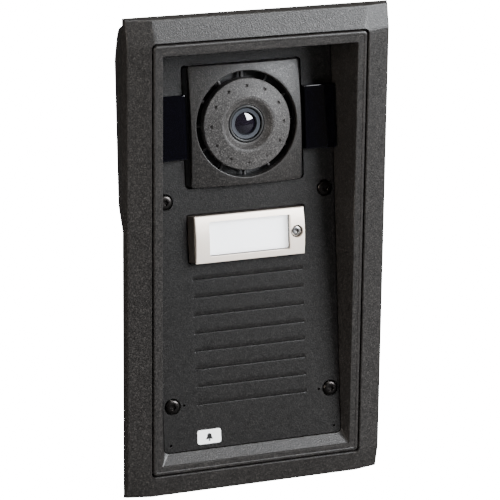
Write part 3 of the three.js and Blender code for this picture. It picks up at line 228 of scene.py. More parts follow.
# %% A finish, and the one method that makes its nodes
class Finish:
    """One material. What varies over the surface goes through nodes; what doesn't is set on the shader."""

    def __init__(self, slot, name=None, **constants):
        self.slot = slot
        self.material = bpy.data.materials.new((name or slot) + "_look")
        self.material.use_nodes = True
        self.tree = self.material.node_tree
        self.shader = next(n for n in self.tree.nodes if n.type == "BSDF_PRINCIPLED")
        for socket, value in constants.items():
            self.shader.inputs[socket.replace("_", " ")].default_value = value
        self.place = self.node("ShaderNodeTexCoord", output="Object")

    def node(self, kind, settings=None, inputs=None, output=0):
        """Makes a node, sets it up, then gives its sockets their values or links."""
        made = self.tree.nodes.new(kind)
        for key, value in (settings or {}).items():
            setattr(made, key, value)
        for key, value in (inputs or {}).items():
            self.feed(made.inputs[key], value)
        return Wire(self, made.outputs[output])

    def feed(self, socket, value):
        if isinstance(value, Wire):
            self.tree.links.new(value.socket, socket)
        elif socket.type == "RGBA":
            socket.default_value = (*value[:3], 1)
        else:
            socket.default_value = value

    def noise(self, size, detail=2.0, stretch=None, seed=0.0):
        """Smooth noise whose lumps are size metres across; stretch lengthens them along each axis."""
        place = self.place
        if stretch or seed:
            place = self.node("ShaderNodeMapping", None, {
                "Vector": place, "Location": (seed, seed, seed), "Scale": stretch or (1, 1, 1)})
        return self.node("ShaderNodeTexNoise", None, {"Vector": place, "Scale": 1 / size, "Detail": detail})

    def cells(self, size):
        """A random grey for each cell of a foam whose cells are size metres across."""
        foam = self.node("ShaderNodeTexVoronoi", None, {"Vector": self.place, "Scale": 1 / size}, "Color")
        return self.node("ShaderNodeSeparateColor", None, {"Color": foam})

    def spread(self, wire, low, high):
        """Stretches the part of a wire from low to high over 0 to 1."""
        return self.node("ShaderNodeMapRange", None, {
            "Value": wire, "From Min": low, "From Max": high, "To Min": 0.0, "To Max": 1.0})

    def mix(self, factor, first, second):
        """A colour between two colours."""
        return self.node("ShaderNodeMix", {"data_type": "RGBA"}, {0: factor, 6: first, 7: second}, 2)

    def paint(self, colour=None, roughness=None, bump=None, **others):
        """Feeds the shader. bump is (height, strength, distance in metres)."""
        if colour is not None:
            self.feed(self.shader.inputs["Base Color"], colour)
        if roughness is not None:
            self.feed(self.shader.inputs["Roughness"], roughness)
        if bump is not None:
            height, strength, distance = bump
            relief = self.node("ShaderNodeBump", None, {
                "Strength": strength, "Distance": distance, "Height": height})
            self.feed(self.shader.inputs["Normal"], relief)
        for socket, wire in others.items():
            self.feed(self.shader.inputs[socket.replace("_", " ")], wire)
        return self


print("a finish can make", [name for name in vars(Finish) if not name.startswith("_")])

# %% [markdown]
# ## Powder coat
#
# The cast parts are coated with a charcoal powder that holds fine pale flecks. Up close the coat is a
# tight orange peel. Three scales of noise make it: a fine grain for the flecks, a coarser mottling, and
# a slow drift of tone over the whole casting. The same heights drive a bump, because the flecks catch
# light only where the surface rises.

# %% Powder coat
COAT_RELIEF = 0.06 * MM
FLECK_SHARE, FLECK_GAIN = 0.36, 3.2


def powder_coat(slot, dark, pale, grain_size, sheen, shine, name=None):
    """Colour runs from dark to pale with the grain; roughness runs against it, so flecks also glint."""
    coat = Finish(slot, name, Metallic=0.0, Specular_IOR_Level=shine)
    grain = coat.spread(coat.noise(grain_size, 1.0), 0.36, 0.66)
    mottle = coat.noise(grain_size * 4.0, 2.0, seed=3.1)
    drift = coat.noise(0.06, 1.0, seed=7.7)
    fleck = coat.spread(coat.cells(grain_size * 0.8), 0.76, 1.0)
    tone = 0.7 * grain + 0.3 * mottle + 0.2 * drift - 0.1
    bright = tuple(min(1.0, FLECK_GAIN * c) for c in pale)
    colour = coat.mix(fleck * FLECK_SHARE, coat.mix(tone, dark, pale), bright)
    return coat.paint(colour, sheen + 0.12 * mottle - 0.12 * fleck, (grain + 0.5 * mottle, 0.55, COAT_RELIEF))


cast_paint = powder_coat("cast_paint", (0.0042, 0.0037, 0.0033), (0.0215, 0.0196, 0.0181), 0.00062, 0.35, 0.28)
plate_paint = powder_coat("plate_paint", (0.0026, 0.0024, 0.0022), (0.0128, 0.0120, 0.0114), 0.00058, 0.33, 0.23)
disc_paint = powder_coat("cast_paint", (0.0120, 0.0112, 0.0105), (0.0480, 0.0450, 0.0430), 0.00055, 0.44, 0.2,
                         "disc_paint")
print("powder coats:", cast_paint.material.name, plate_paint.material.name, disc_paint.material.name)

# %% [markdown]
# ## Plastics and rubber
#
# Moulded plastic carries the spark-eroded grain of its mould: very fine, shallow and even. Rubber is
# duller, with a faint bloom of dust. Smoked acrylic is polished, so its only detail is a haze of fine
# wipe marks, which shows in the reflections.

# %% Plastics, rubber and acrylic
MOULD_RELIEF = 0.03 * MM


def moulded(slot, colour, roughness, grain_size=0.0004, dust=0.15, name=None):
    """A plain colour with a fine mould grain, a slow change of gloss, and a little pale dust."""
    plastic = Finish(slot, name, Specular_IOR_Level=0.45)
    grain = plastic.noise(grain_size, 2.0)
    handled = plastic.noise(0.012, 3.0, seed=2.2)
    dusty = plastic.spread(plastic.noise(0.0025, 4.0, seed=5.0), 0.55, 0.8)
    pale = tuple(c * 0.85 + 0.05 for c in colour)
    return plastic.paint(plastic.mix(dusty * dust, colour, pale),
                         roughness + 0.12 * handled - 0.05 * grain, (grain, 0.25, MOULD_RELIEF))


black_plastic = moulded("black_plastic", (0.0028, 0.0028, 0.003), 0.4)
dark_plastic = moulded("dark_plastic", (0.040, 0.032, 0.026), 0.42)
white_plastic = moulded("white_plastic", (0.82, 0.82, 0.8), 0.35, dust=0.05)
terminal_green = moulded("terminal_green", (0.03, 0.24, 0.08), 0.42)
rubber = moulded("rubber", (0.012, 0.012, 0.012), 0.72, 0.0006, 0.5)

smoked_acrylic = Finish("smoked_acrylic", IOR=1.49, Coat_Roughness=0.02)
wiped = smoked_acrylic.noise(0.0012, 4.0, stretch=(1.0, 1.0, 0.12))
smoked_acrylic.paint(
    smoked_acrylic.mix(wiped, (0.0004, 0.0004, 0.0012), (0.0008, 0.0008, 0.0020)),
    0.045 + 0.06 * smoked_acrylic.spread(wiped, 0.5, 0.8))
print("plastics made")

# %% [markdown]
# ## Metals
#
# The button's face is nickel, brushed up and down and then satin plated: the brush lines are noise
# stretched thirty times along z. Screws are turned and plated, with a slight variation of tone. Ferrite
# and the lens's coating belong here too, since both reflect more than plastic does.

# %% Nickel, steel and ferrite
METAL_RELIEF = 0.02 * MM


def metal(name, low, high, roughness, line_size, strength, metallic=1.0, stretch=None):
    """Brush lines are noise squeezed across the stretch; they change the tone, the gloss and the relief."""
    made = Finish(name, Metallic=metallic)
    lines = made.noise(line_size, 3.0, stretch=stretch)
    cloud = made.noise(0.01, 2.0, seed=4.4)
    return made.paint(made.mix(0.6 * lines + 0.4 * cloud, low, high),
                      roughness + 0.12 * lines, (lines, strength, METAL_RELIEF))


nickel = metal("nickel", (0.90, 0.78, 0.66), (0.98, 0.88, 0.78), 0.33, 0.0005, 0.1, 0.45, (1.0, 1.0, 0.03))
steel = metal("steel", (0.24, 0.235, 0.23), (0.44, 0.435, 0.43), 0.22, 0.0006, 0.2)
dark_steel = metal("dark_steel", (0.012, 0.011, 0.011), (0.055, 0.050, 0.047), 0.25, 0.0007, 0.25)
ferrite = metal("ferrite", (0.03, 0.03, 0.032), (0.075, 0.075, 0.08), 0.55, 0.0008, 0.5, 0.3)
lens_coat = metal("lens_coat", (0.008, 0.010, 0.015), (0.015, 0.019, 0.027), 0.6, 0.0005, 0.1, 0.1)
print("metals made")

# %% [markdown]
# ## Glass, card and board
#
# The lens is dark glass with a clear coat. The name window is clear acrylic, nearly all transparent, over
# a card with faint fibres, which glows a little so that it stays white behind the sheet. The circuit
# boards can only be seen with the plate off, and get a solder mask with copper traces under it.

# %% Glass, clear acrylic, paper and circuit board
lens_glass = Finish("lens_glass", IOR=1.6, Coat_Weight=1.0, Coat_Roughness=0.0)
breath = lens_glass.noise(0.003, 2.0)
lens_glass.paint(lens_glass.mix(breath, (0.002, 0.002, 0.003), (0.006, 0.004, 0.009)), 0.02 + 0.03 * breath)

clear_acrylic = Finish("clear_acrylic", IOR=1.49)
haze = clear_acrylic.noise(0.004, 3.0)
clear_acrylic.paint((0.9, 0.92, 0.94), 0.04 + 0.05 * haze, Alpha=0.1 + 0.04 * haze)


def fibrous(name, low, high, size, glow=0.0):
    """Paper: two noises, one long and one across it, read as crossed fibres."""
    made = Finish(name, Specular_IOR_Level=0.25, Emission_Color=(0.97, 0.98, 1.0, 1.0), Emission_Strength=glow)
    fibre = 0.5 * made.noise(size, 4.0, stretch=(0.25, 1.0, 1.0)) + 0.5 * made.noise(size, 4.0, (1.0, 1.0, 0.25))
    return made.paint(made.mix(fibre, low, high), 0.75 + 0.15 * fibre, (fibre, 0.3, MOULD_RELIEF))


card = fibrous("card", (0.86, 0.87, 0.89), (0.93, 0.935, 0.945), 0.0006, glow=1.0)
paper = fibrous("paper", (0.02, 0.018, 0.016), (0.05, 0.045, 0.04), 0.0008)

circuit_board = Finish("circuit_board", Specular_IOR_Level=0.5)
weave = circuit_board.noise(0.0005, 2.0)
tracks = circuit_board.node("ShaderNodeTexBrick", {"offset": 0.35}, {
    "Vector": circuit_board.node("ShaderNodeMapping", None, {
        "Vector": circuit_board.place, "Rotation": (math.radians(90), 0, 0)}),
    "Scale": 60.0, "Mortar Size": 0.012, "Brick Width": 0.7, "Row Height": 0.16}, "Fac")
solder_mask = circuit_board.mix(weave, (0.008, 0.07, 0.03), (0.012, 0.1, 0.045))
circuit_board.paint(circuit_board.mix(tracks, solder_mask, (0.05, 0.24, 0.1)),
                    0.32 + 0.1 * weave, (tracks + 0.3 * weave, 0.3, 0.04 * MM))
print("finishes:", len(bpy.data.materials))

# %% [markdown]
# ## Grids into meshes
#
# Two helpers turn grids of points into faces. A tube joins its last column to its first, and its ends are
# capped with one flat face, left open, or looped back on each other like a doughnut. A patch is an open
# sheet, and can leave some of its cells out. One piece may be several tubes and patches, which are welded
# where their points meet.

# %% Tubes and patches
def cells_of(rows, cols, loop_rows, loop_cols):
    """The four corner numbers of every cell of a grid, as whole arrays."""
    row, col = np.meshgrid(np.arange(rows if loop_rows else rows - 1),
                           np.arange(cols if loop_cols else cols - 1), indexing="ij")
    below, beside = (row + 1) % rows, (col + 1) % cols
    return np.stack([row * cols + col, row * cols + beside, below * cols + beside, below * cols + col], -1)


def tube(points, ends="capped"):
    """A grid whose columns close up. ends is capped, open or looped."""
    rows, cols = points.shape[:2]
    faces = cells_of(rows, cols, ends == "looped", True).reshape(-1, 4).tolist()
    if ends == "capped":
        first = np.arange(cols)
        faces += [first[::-1].tolist(), (first + (rows - 1) * cols).tolist()]
    return points.reshape(-1, 3), faces


def patch(points, keep=None):
    """An open grid; keep is a true or false for each cell."""
    faces = cells_of(*points.shape[:2], False, False)
    faces = faces.reshape(-1, 4) if keep is None else faces[keep]
    return points.reshape(-1, 3), faces.tolist()


print("a capped tube of 3 by 4 points has", len(tube(np.zeros((3, 4, 3)))[1]), "faces")

# %% A piece from its sheets
def skin(name, *sheets, place=on_plate, sharp=32.0):
    """Welds the sheets into one mesh, points its faces outwards and marks the edges that stay crisp."""
    starts = np.cumsum([0] + [len(points) for points, _ in sheets])
    points = np.vstack([points for points, _ in sheets])
    faces = [[corner + start for corner in face] for start, (_, part) in zip(starts, sheets) for face in part]
    mesh = bpy.data.meshes.new(name)
    mesh.from_pydata((place(points) * MM).tolist(), [], faces)
    shape = bmesh.new()
    shape.from_mesh(mesh)
    bmesh.ops.remove_doubles(shape, verts=shape.verts, dist=2e-6)
    bmesh.ops.recalc_face_normals(shape, faces=shape.faces)
    shape.to_mesh(mesh)
    shape.free()
    soften(mesh, sharp)
    return linked(bpy.data.objects.new(name, mesh))


def soften(mesh, sharp):
    """Smooth shading everywhere, except over edges that turn by more than sharp degrees."""
    mesh.polygons.foreach_set("use_smooth", np.ones(len(mesh.polygons), bool))
    mesh.set_sharp_from_angle(angle=math.radians(sharp))


def finished(made, finish, stands_for=(), body="panel", even=True):
    """Gives a piece its finish and its body, and hides the CAD nodes it stands for."""
    made.data.materials.clear()
    made.data.materials.append(finish.material)
    if even:
        made.modifiers.new("even_faces", "WEIGHTED_NORMAL").keep_sharp = True
    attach(made, body)
    if stands_for:
        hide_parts(*stands_for)
    print(f"{made.name}: {len(made.data.polygons)} faces")
    return made


# %% [markdown]
# Holes that cross a surface are cut with the exact boolean, because a grid can't close round five kinds
# of hole at once. The tools are grids too, and already carry the small chamfer that the hole's edge has.

# %% Cutting with closed tools
def carve(made, *tools, sharp=32.0):
    """Takes the tools out of a piece, and keeps only the resulting mesh."""
    for tool in tools:
        step = made.modifiers.new("cut", "BOOLEAN")
        step.operation, step.solver, step.object = "DIFFERENCE", "EXACT", tool
    settled = made.evaluated_get(bpy.context.evaluated_depsgraph_get())
    cut = bpy.data.meshes.new_from_object(settled)
    made.modifiers.clear()
    made.data = cut
    soften(cut, sharp)
    for tool in tools:
        bpy.data.objects.remove(tool)
    return made


print("cutting uses the exact boolean")

# %% [markdown]
# ## Rows to build with
#
# Nearly every part here is a stack of rounded rectangles or a stack of circles. A rectangle's row starts
# on its right side and goes round, with the same number of points whatever its size, so that any two of
# them can be joined. For a round hole in a square part, the circle takes its angles from the square's
# row, so the two also match point for point.

# %% Rounded rectangles, circles and turned profiles
def ring(width, height, radius, x=0.0, s=0.0, side=6, arc=5):
    """A rounded rectangle: four quarter circles about their own centres, and straight runs between."""
    turn = np.radians(np.linspace(0, 90, arc + 1))
    share = np.linspace(0, 1, side + 2)[1:-1, None]
    corners = []
    for quarter, (sx, ss) in enumerate(((1, 1), (-1, 1), (-1, -1), (1, -1))):
        angle = turn + quarter * math.pi / 2
        centre = np.array([sx * (width / 2 - radius), ss * (height / 2 - radius)])
        corners.append(centre + radius * np.stack([np.cos(angle), np.sin(angle)], -1))
    runs = []
    for corner, following in zip(corners, corners[1:] + corners[:1]):
        runs += [corner, corner[-1] + (following[0] - corner[-1]) * share]
    return np.vstack(runs) + (x, s)


def stacked(levels):
    """Rows at different heights as one grid: each level is (row, n)."""
    return np.stack([np.column_stack([row, np.broadcast_to(n, len(row))]) for row, n in levels])


def circle_in(row, radius, x, s):
    """A circle with one point in the direction of each point of a row."""
    away = row - (x, s)
    return (x, s) + radius * away / np.linalg.norm(away, axis=1, keepdims=True)


def turned(profile, x=0.0, s=0.0, steps=96, swing=np.ones_like):
    """A turned surface: every (radius, n) of the profile becomes a circle about (x, s), or a lobed curve
    where swing gives the factor of the radius at each angle."""
    radius, n = np.array(profile, float).T
    angle = np.linspace(0, 2 * math.pi, steps, endpoint=False)
    reach = radius[:, None] * swing(angle)
    return np.stack([x + reach * np.cos(angle), s + reach * np.sin(angle),
                     np.broadcast_to(n[:, None], reach.shape)], -1)


def rounding(radius, steps=4):
    """A quarter round as (how far in, how far down), from the side of a part up to its face."""
    angle = np.radians(np.linspace(0, 90, steps + 1))
    return list(zip(radius * (1 - np.cos(angle)), radius * (1 - np.sin(angle))))


print("a ring has", len(ring(10, 10, 1)), "points")

# %% [markdown]
# ## The flush frame
#
# The frame is a casting with four bars. Each bar falls away from the opening towards the wall, and where
# two bars meet both falls add up, so the corners are lowest and a crease runs from each corner of the
# opening straight up and straight across. A grid in x and z, square to the wall, puts its lines on those
# creases. Rows near the opening are bent to follow its rounded corners.

# %% Frame: positions across a bar and how much each falls
COLLAR_SIZE, COLLAR_RADIUS, HOUSING_GAP = np.array([109.0, 217.0]), 2.0, 0.7
FRAME_FALL, FRAME_LEAN, FRAME_EDGE, OPENING_CHAMFER = 2.6, 0.6, 0.8, 0.4
OVER_LINES, BAR_LINES = 34, 9  # grid lines over the opening and across a bar
TO_THE_WALL = 1e3  # a fall that ends at the wall from any height

frame_high = wall_box("flush_frame")[1]
frame_half, crown = frame_high[:2], frame_high[2]
opening_half = COLLAR_SIZE / 2 + HOUSING_GAP
opening_radius = COLLAR_RADIUS + HOUSING_GAP + OPENING_CHAMFER
bevel_half = opening_half + OPENING_CHAMFER
crease = bevel_half - opening_radius * (1 - math.cos(math.pi / 4))
front_edge = frame_half - FRAME_LEAN - FRAME_EDGE
print(f"the frame's crown is {crown:.1f} mm proud of the wall")


def bar_line(axis):
    """One axis of the grid, from side to side: the place of each line, its fall, and whether it is over
    the opening. Outside, a line falls in proportion to its distance from the crease, then rounds over
    the front edge and drops to the wall."""
    inner, outer, wide = crease[axis], front_edge[axis], frame_half[axis]
    arc = np.radians(np.linspace(45, 0, 5))
    corner = bevel_half[axis] - opening_radius + opening_radius * np.sin(arc)
    over = np.concatenate([-corner, np.linspace(-corner[-1], corner[-1], OVER_LINES)[1:-1], corner[::-1]])
    share = np.linspace(0, 1, BAR_LINES)[1:]
    bar = [(inner + (outer - inner) * t, FRAME_FALL * t) for t in share]
    edge = [(wide - FRAME_LEAN - inset, FRAME_FALL + drop) for inset, drop in rounding(FRAME_EDGE)[-2::-1]]
    outside = np.array(bar + edge + [(wide, TO_THE_WALL)])
    places = np.concatenate([-outside[::-1, 0], over, outside[:, 0]])
    falls = np.concatenate([outside[::-1, 1], 0 * over, outside[:, 1]])
    return places, falls, np.abs(places) <= inner + 1e-9


# %% Frame: bend the grid round the opening's corners and build it
line_x, fall_x, over_x = bar_line(0)
line_z, fall_z, over_z = bar_line(1)
grid_x, grid_z = np.meshgrid(line_x, line_z, indexing="ij")


def bent(along, across, half, fold, edge, over_along):
    """Moves the rows beside the opening: at a place along a bar the opening's edge is at its straight
    side, or lower on the corner's arc, and the rows share out what is left up to the front edge."""
    reach = np.clip(np.abs(along) - (half[0] - opening_radius), 0, opening_radius)
    brink = half[1] - opening_radius + np.sqrt(opening_radius ** 2 - reach ** 2)
    share = (np.abs(across) - fold) / (edge - fold)
    moved = np.sign(across) * (brink + share * (edge - brink))
    beside = over_along & (np.abs(across) >= fold - 1e-9) & (np.abs(across) <= edge)
    return np.where(beside, moved, across)


bent_z = bent(grid_x, grid_z, bevel_half, crease[1], front_edge[1], over_x[:, None])
bent_x = bent(grid_z, grid_x, bevel_half[::-1], crease[0], front_edge[0], over_z[None, :])
height = np.maximum(crown - fall_x[:, None] - fall_z[None, :], 0)
solid_cells = ~(over_x[:-1] & over_x[1:])[:, None] | ~(over_z[:-1] & over_z[1:])[None, :]
face = np.stack([bent_x, bent_z, height], -1)
wall_side = np.stack([bent_x, bent_z, 0 * height], -1)

brim_x, brim_z = np.flatnonzero(over_x), np.flatnonzero(over_z)
brim = np.concatenate([
    face[brim_x, brim_z[-1], :2], face[brim_x[-1], brim_z[::-1], :2][1:],
    face[brim_x[::-1], brim_z[0], :2][1:], face[brim_x[0], brim_z, :2][1:-1],
])
inside = np.sign(brim) * np.minimum(np.abs(brim), opening_half)
bore_wall = stacked([(brim, crown), (inside, crown - OPENING_CHAMFER), (inside, OPENING_CHAMFER), (brim, 0.0)])

flush_frame = skin("frame_casting", patch(face, solid_cells), patch(wall_side, solid_cells),
                   tube(bore_wall, "open"), place=on_wall, sharp=24)
print("the frame's face has", int(solid_cells.sum()), "cells")

# %% [markdown]
# A rubber seal lies in a groove round the frame's back, and four screws come through the housing's lugs
# into the frame. The groove is cut with a square doughnut, and the screw holes with short rods.

# %% Frame: seal groove and screw holes
FRAME_HOLE, FRAME_HOLE_DEPTH, LUG_HOLE = 1.8, 3.3, 1.8
GROOVE_GAP, SEAL_WIDTH = 0.3, 2.0


def square_doughnut(name, outer, inner, n0, n1):
    """A band between two rounded rectangles, from height n0 to height n1, looped back on itself."""
    return skin(name, tube(stacked([(outer, n0), (outer, n1), (inner, n1), (inner, n0)]), "looped"), place=on_wall)


def rods(name, places, radius, n0, n1, steps=32, place=on_plate, flare=0.0):
    """Round tools at several places; flare is the size of a chamfer at n1."""
    profile = [(radius, n0), (radius, n1 - flare), (radius + flare, n1), (radius + flare, n1 + 1)]
    return skin(name, *[tube(turned(profile, x, s, steps)) for x, s in places], place=place)


seal_high = wall_box("wall_gasket")[1]
seal_outer = ring(*(2 * (seal_high[:2] + GROOVE_GAP)), 2.3)
seal_inner = ring(*(2 * (seal_high[:2] - SEAL_WIDTH - GROOVE_GAP)), 1.0)
frame_screws = {node: middle_of(wall_box(node)) for node in frame["nodes"] if node.startswith("frame_screw")}
carve(flush_frame, square_doughnut("groove", seal_outer, seal_inner, -1, seal_high[2] + GROOVE_GAP),
      rods("screw_holes", frame_screws.values(), FRAME_HOLE, -1, FRAME_HOLE_DEPTH, place=on_wall), sharp=24)
finished(flush_frame, cast_paint, ["flush_frame"])

# %% [markdown]
# ## The housing's rim and recess
#
# The housing is a box with a thick rim, whose front stands as high as the frame's crown. From the rim,
# four plain walls lead back to the seat of the leaning plate: shallow at the bottom and deep at the top.
# It is one stack of rounded rectangles. Some levels lie square to the wall and some lie on the plate, so
# each level is placed in the room before it is stacked.

# %% Housing: the levels of the front half
RIM_EDGE, RIM_STEP = 1.0, 0.22
MOUTH_WIDTH, MOUTH_TOP, MOUTH_BOTTOM, MOUTH_RADIUS, MOUTH_N = 99.0, 102.8, -104.0, 0.6, 7.3
PLATE_CORNER = 2.3
LEDGE_SIDE, LEDGE_LOW, LEDGE_HIGH, LEDGE_N, LEDGE_BACK_N = 10.4, 8.0, 5.0, -4.1, -7.1
COLLAR_BACK_N = -14.0
TUB_SIZE, TUB_WALL, TUB_RADIUS, TUB_SPLIT = np.array([102.0, 210.0]), 3.0, 0.4, 30.0
TUB_MIDDLE_S = 101.0  # the tub's middle, measured up the plate

mouth_height, mouth_z = MOUTH_TOP - MOUTH_BOTTOM, (MOUTH_TOP + MOUTH_BOTTOM) / 2
seat_width = plate_width + 2 * PLATE_GAP


def collar(inset):
    """The outline of the housing's wide front part, drawn in by an inset."""
    return ring(*(COLLAR_SIZE - 2 * inset), max(COLLAR_RADIUS - inset * 0.6, 0.5))


def mouth(wide):
    """The edge of the recess, widened."""
    return ring(MOUTH_WIDTH + 2 * wide, mouth_height + 2 * wide, MOUTH_RADIUS + wide, 0, mouth_z)


seat = ring(seat_width, plate_length, PLATE_CORNER + PLATE_GAP, 0, plate_length / 2)
ledge_hole = ring(seat_width - 2 * LEDGE_SIDE, plate_length - LEDGE_LOW - LEDGE_HIGH, 1.0,
                  0, (plate_length + LEDGE_LOW - LEDGE_HIGH) / 2)
tub_outer, tub_inner = ring(*TUB_SIZE, TUB_RADIUS), ring(*(TUB_SIZE - 2 * TUB_WALL), TUB_RADIUS)

wall_levels = [(tub_outer, -TUB_SPLIT), (tub_outer, COLLAR_BACK_N), (collar(0.3), COLLAR_BACK_N),
               (collar(0.0), COLLAR_BACK_N + 0.3)]
wall_levels += [(collar(inset), crown - drop) for inset, drop in rounding(RIM_EDGE)]
wall_levels += [(collar(1.55), crown), (collar(1.7), crown - RIM_STEP * 0.35), (collar(1.85), crown - RIM_STEP),
                (mouth(0.7), crown - RIM_STEP), (mouth(0.3), crown - RIM_STEP - 0.1),
                (mouth(0.08), MOUTH_N - 0.15), (mouth(0.0), MOUTH_N - 0.4)]
plate_levels = [(seat, 0.25), (seat, 0.0), (seat, LEDGE_N), (ledge_hole, LEDGE_N), (ledge_hole, LEDGE_BACK_N),
                (tub_inner + (0, TUB_MIDDLE_S), LEDGE_BACK_N)]
front_half = np.concatenate([on_wall(stacked(wall_levels)), on_plate(stacked(plate_levels)),
                             on_wall(stacked([(tub_inner, -TUB_SPLIT)]))])
print("the front half has", len(front_half), "levels")

# %% Housing: the lugs for the frame's screws, and the piece
LUG_MIDDLE, LUG_WIDTH, LUG_HEIGHT, LUG_RADIUS, LUG_EDGE = 58.75, 10.5, 14.0, 1.2, 0.3
LUG_FRONT_N, LUG_BACK_N = -0.3, -3.8


def square_ring(x, z):
    """A lug: a block with a round hole, as one doughnut whose outer rows are rounded rectangles."""
    outer = ring(LUG_WIDTH, LUG_HEIGHT, LUG_RADIUS, x, z)
    top = ring(LUG_WIDTH - 2 * LUG_EDGE, LUG_HEIGHT - 2 * LUG_EDGE, LUG_RADIUS - LUG_EDGE, x, z)
    hole = circle_in(outer, LUG_HOLE, x, z)
    return stacked([(outer, LUG_BACK_N), (outer, LUG_FRONT_N - LUG_EDGE), (top, LUG_FRONT_N), (hole, LUG_FRONT_N),
                    (hole, LUG_BACK_N)])


def as_placed(points):
    """For rows that are already points of the room."""
    return points


lugs = [tube(on_wall(square_ring(np.sign(x) * LUG_MIDDLE, z)), "looped") for x, z in frame_screws.values()]
finished(skin("housing_front", tube(front_half, "looped"), *lugs, place=as_placed, sharp=30), cast_paint,
         ["housing"])

# %% [markdown]
# A rubber lip fills the narrow gap between the frame and the rim, a few millimetres below their fronts. It
# is pressed a little way into both, as a squeezed seal is.

# %% The lip between the frame and the rim
LIP_SQUEEZE, LIP_BACK_N, LIP_FRONT_N = 0.2, 1.5, 3.5

finished(square_doughnut("rim_seal", collar(-HOUSING_GAP - LIP_SQUEEZE), collar(LIP_SQUEEZE), LIP_BACK_N,
                         LIP_FRONT_N), rubber)

# %% [markdown]
# ## The housing's back
#
# Behind the wall the box is deep at the top, where the camera and the board are, and slopes down to a
# shallow bottom where the cables come in. Its outline, seen from the side, is carried from left to right.
# The last millimetres on each side draw in to round the edge, and a Solidify modifier gives the shell
# its wall.

# %% Housing: the side outline of the back half
TUB_TOP = TUB_SIZE[1] / 2
SHOULDER = np.array([(50.0, TUB_TOP), (59.3, TUB_TOP), (59.33, 102.0), (64.0, 86.0)])  # (depth, z) of its curve
UPPER_FOOT, LOWER_HEAD = (58.8, 12.0), (34.0, -33.0)
BEND = 1.5


def side_outline():
    """(depth, z) down the back: a round shoulder, the upper box, a slope, and the lower box."""
    t = np.linspace(0, 1, 14)[:, None]
    weights = ((1 - t) ** 3, 3 * t * (1 - t) ** 2, 3 * t ** 2 * (1 - t), t ** 3)
    shoulder = sum(weight * pole for weight, pole in zip(weights, SHOULDER))
    line = np.vstack([(TUB_SPLIT, TUB_TOP), shoulder, UPPER_FOOT, LOWER_HEAD, (LOWER_HEAD[0], -TUB_TOP),
                      (TUB_SPLIT, -TUB_TOP)])
    eased = [line[0]]
    for before, here, after in zip(line[:-2], line[1:-1], line[2:]):
        turn_in, turn_out = here - before, after - here
        size = min(BEND, np.linalg.norm(turn_in) / 2.2, np.linalg.norm(turn_out) / 2.2)
        start = here - turn_in / np.linalg.norm(turn_in) * size
        stop = here + turn_out / np.linalg.norm(turn_out) * size
        share = np.linspace(0, 1, 5)[:, None]
        eased += list((1 - share) ** 2 * start + 2 * share * (1 - share) * here + share ** 2 * stop)
    return np.array(eased + [line[-1]])


outline = side_outline()
heading = np.gradient(outline, axis=0)
heading /= np.linalg.norm(heading, axis=1, keepdims=True)
outward = np.stack([-heading[:, 1], heading[:, 0]], -1)
outward[[0, -1]] = (0, 1), (0, -1)
print("the outline has", len(outline), "points")

# %% Housing: the outline carried along x, and its wall
BACK_EDGE, GLAND_HOLE = 1.6, 6.3

stations = [(-TUB_SIZE[0] / 2 + inset, drop) for inset, drop in rounding(BACK_EDGE)]
stations += [(x, 0.0) for x in np.linspace(-48, 48, 13)] + [(-x, drop) for x, drop in stations[::-1]]
carried = np.stack([
    np.column_stack([np.full(len(outline), x), outline - outward * drop]) for x, drop in stations])
carried[:, 0, 1] = carried[:, -1, 1] = TUB_SPLIT
shell_points, shell_faces = patch(carried)
left_end = np.arange(len(outline))
ends = [left_end.tolist(), (left_end + (len(stations) - 1) * len(outline)).tolist()]
housing_back = skin("housing_back", (shell_points, shell_faces + ends), place=as_placed, sharp=30)
wall = housing_back.modifiers.new("wall", "SOLIDIFY")
wall.thickness, wall.offset = TUB_WALL * MM, -1.0
gland_boxes = {side: wall_box(f"cable_gland_{side}") for side in ("left", "right")}
gland_places = {side: middle_of(box) for side, box in gland_boxes.items()}
carve(housing_back, rods("gland_holes", gland_places.values(), GLAND_HOLE, -40, -25, place=on_wall))
finished(housing_back, cast_paint, ["housing"])

# %% [markdown]
# ## The front plate
#
# The plate is a flat sheet of metal, so its own surface is simple and its holes are the work. Each louvre
# is a scoop: below the slit the sheet is rolled over into a soft lip that faces up and catches the light,
# and above it the sheet ramps down to the slit in shade. Along the lip runs a fine bead, a fifth of a
# millimetre proud of the sheet. The screws sit in flat-bottomed counterbores with a broken edge.

# %% Plate: the sheet
SHEET_EDGE = 0.25


def rounded_slab(row, n0, n1, edge):
    """A flat slab whose two outer edges are rounded. row(inset) gives its outline."""
    low = [(row(inset), n0 + drop) for inset, drop in rounding(edge, 3)[::-1]]
    high = [(row(inset), n1 - drop) for inset, drop in rounding(edge, 3)]
    return tube(stacked(low + high))


def plate_row(inset):
    """The plate's outline, drawn in by an inset."""
    size = (plate_width - 2 * inset, plate_length - 2 * PLATE_GAP - 2 * inset)
    return ring(*size, PLATE_CORNER - inset, 0, plate_length / 2)


front_plate = skin("plate_sheet", rounded_slab(plate_row, -PLATE_THICK, 0.0, SHEET_EDGE))
print("the sheet has", len(front_plate.data.polygons), "faces before it is cut")

# %% Plate: the louvres
LOUVRE_WIDTH, LOUVRE_FIRST, LOUVRE_PITCH, LOUVRE_COUNT = 58.4, 23.0, 9.0, 8
ROLL_REACH, ROLL_DROP, SLIT, SLIT_BACK = 0.9, 0.5, 0.13, -3.4
BEAD_REACH, BEAD_HEIGHT, BEAD_SINK, BEAD_STEPS = 0.36, 0.34, 0.14, 12


def pressed(half, steps, section):
    """Carries section(share) along x. steps gives, for places counted in from an end of the louvre, how
    much of the full depth is reached there."""
    ends = [(half - inset, section(share)) for inset, share in steps]
    both = [(-x, row) for x, row in ends] + ends[::-1]
    return tube(np.stack([np.column_stack([np.full(len(row), x), row]) for x, row in both]))


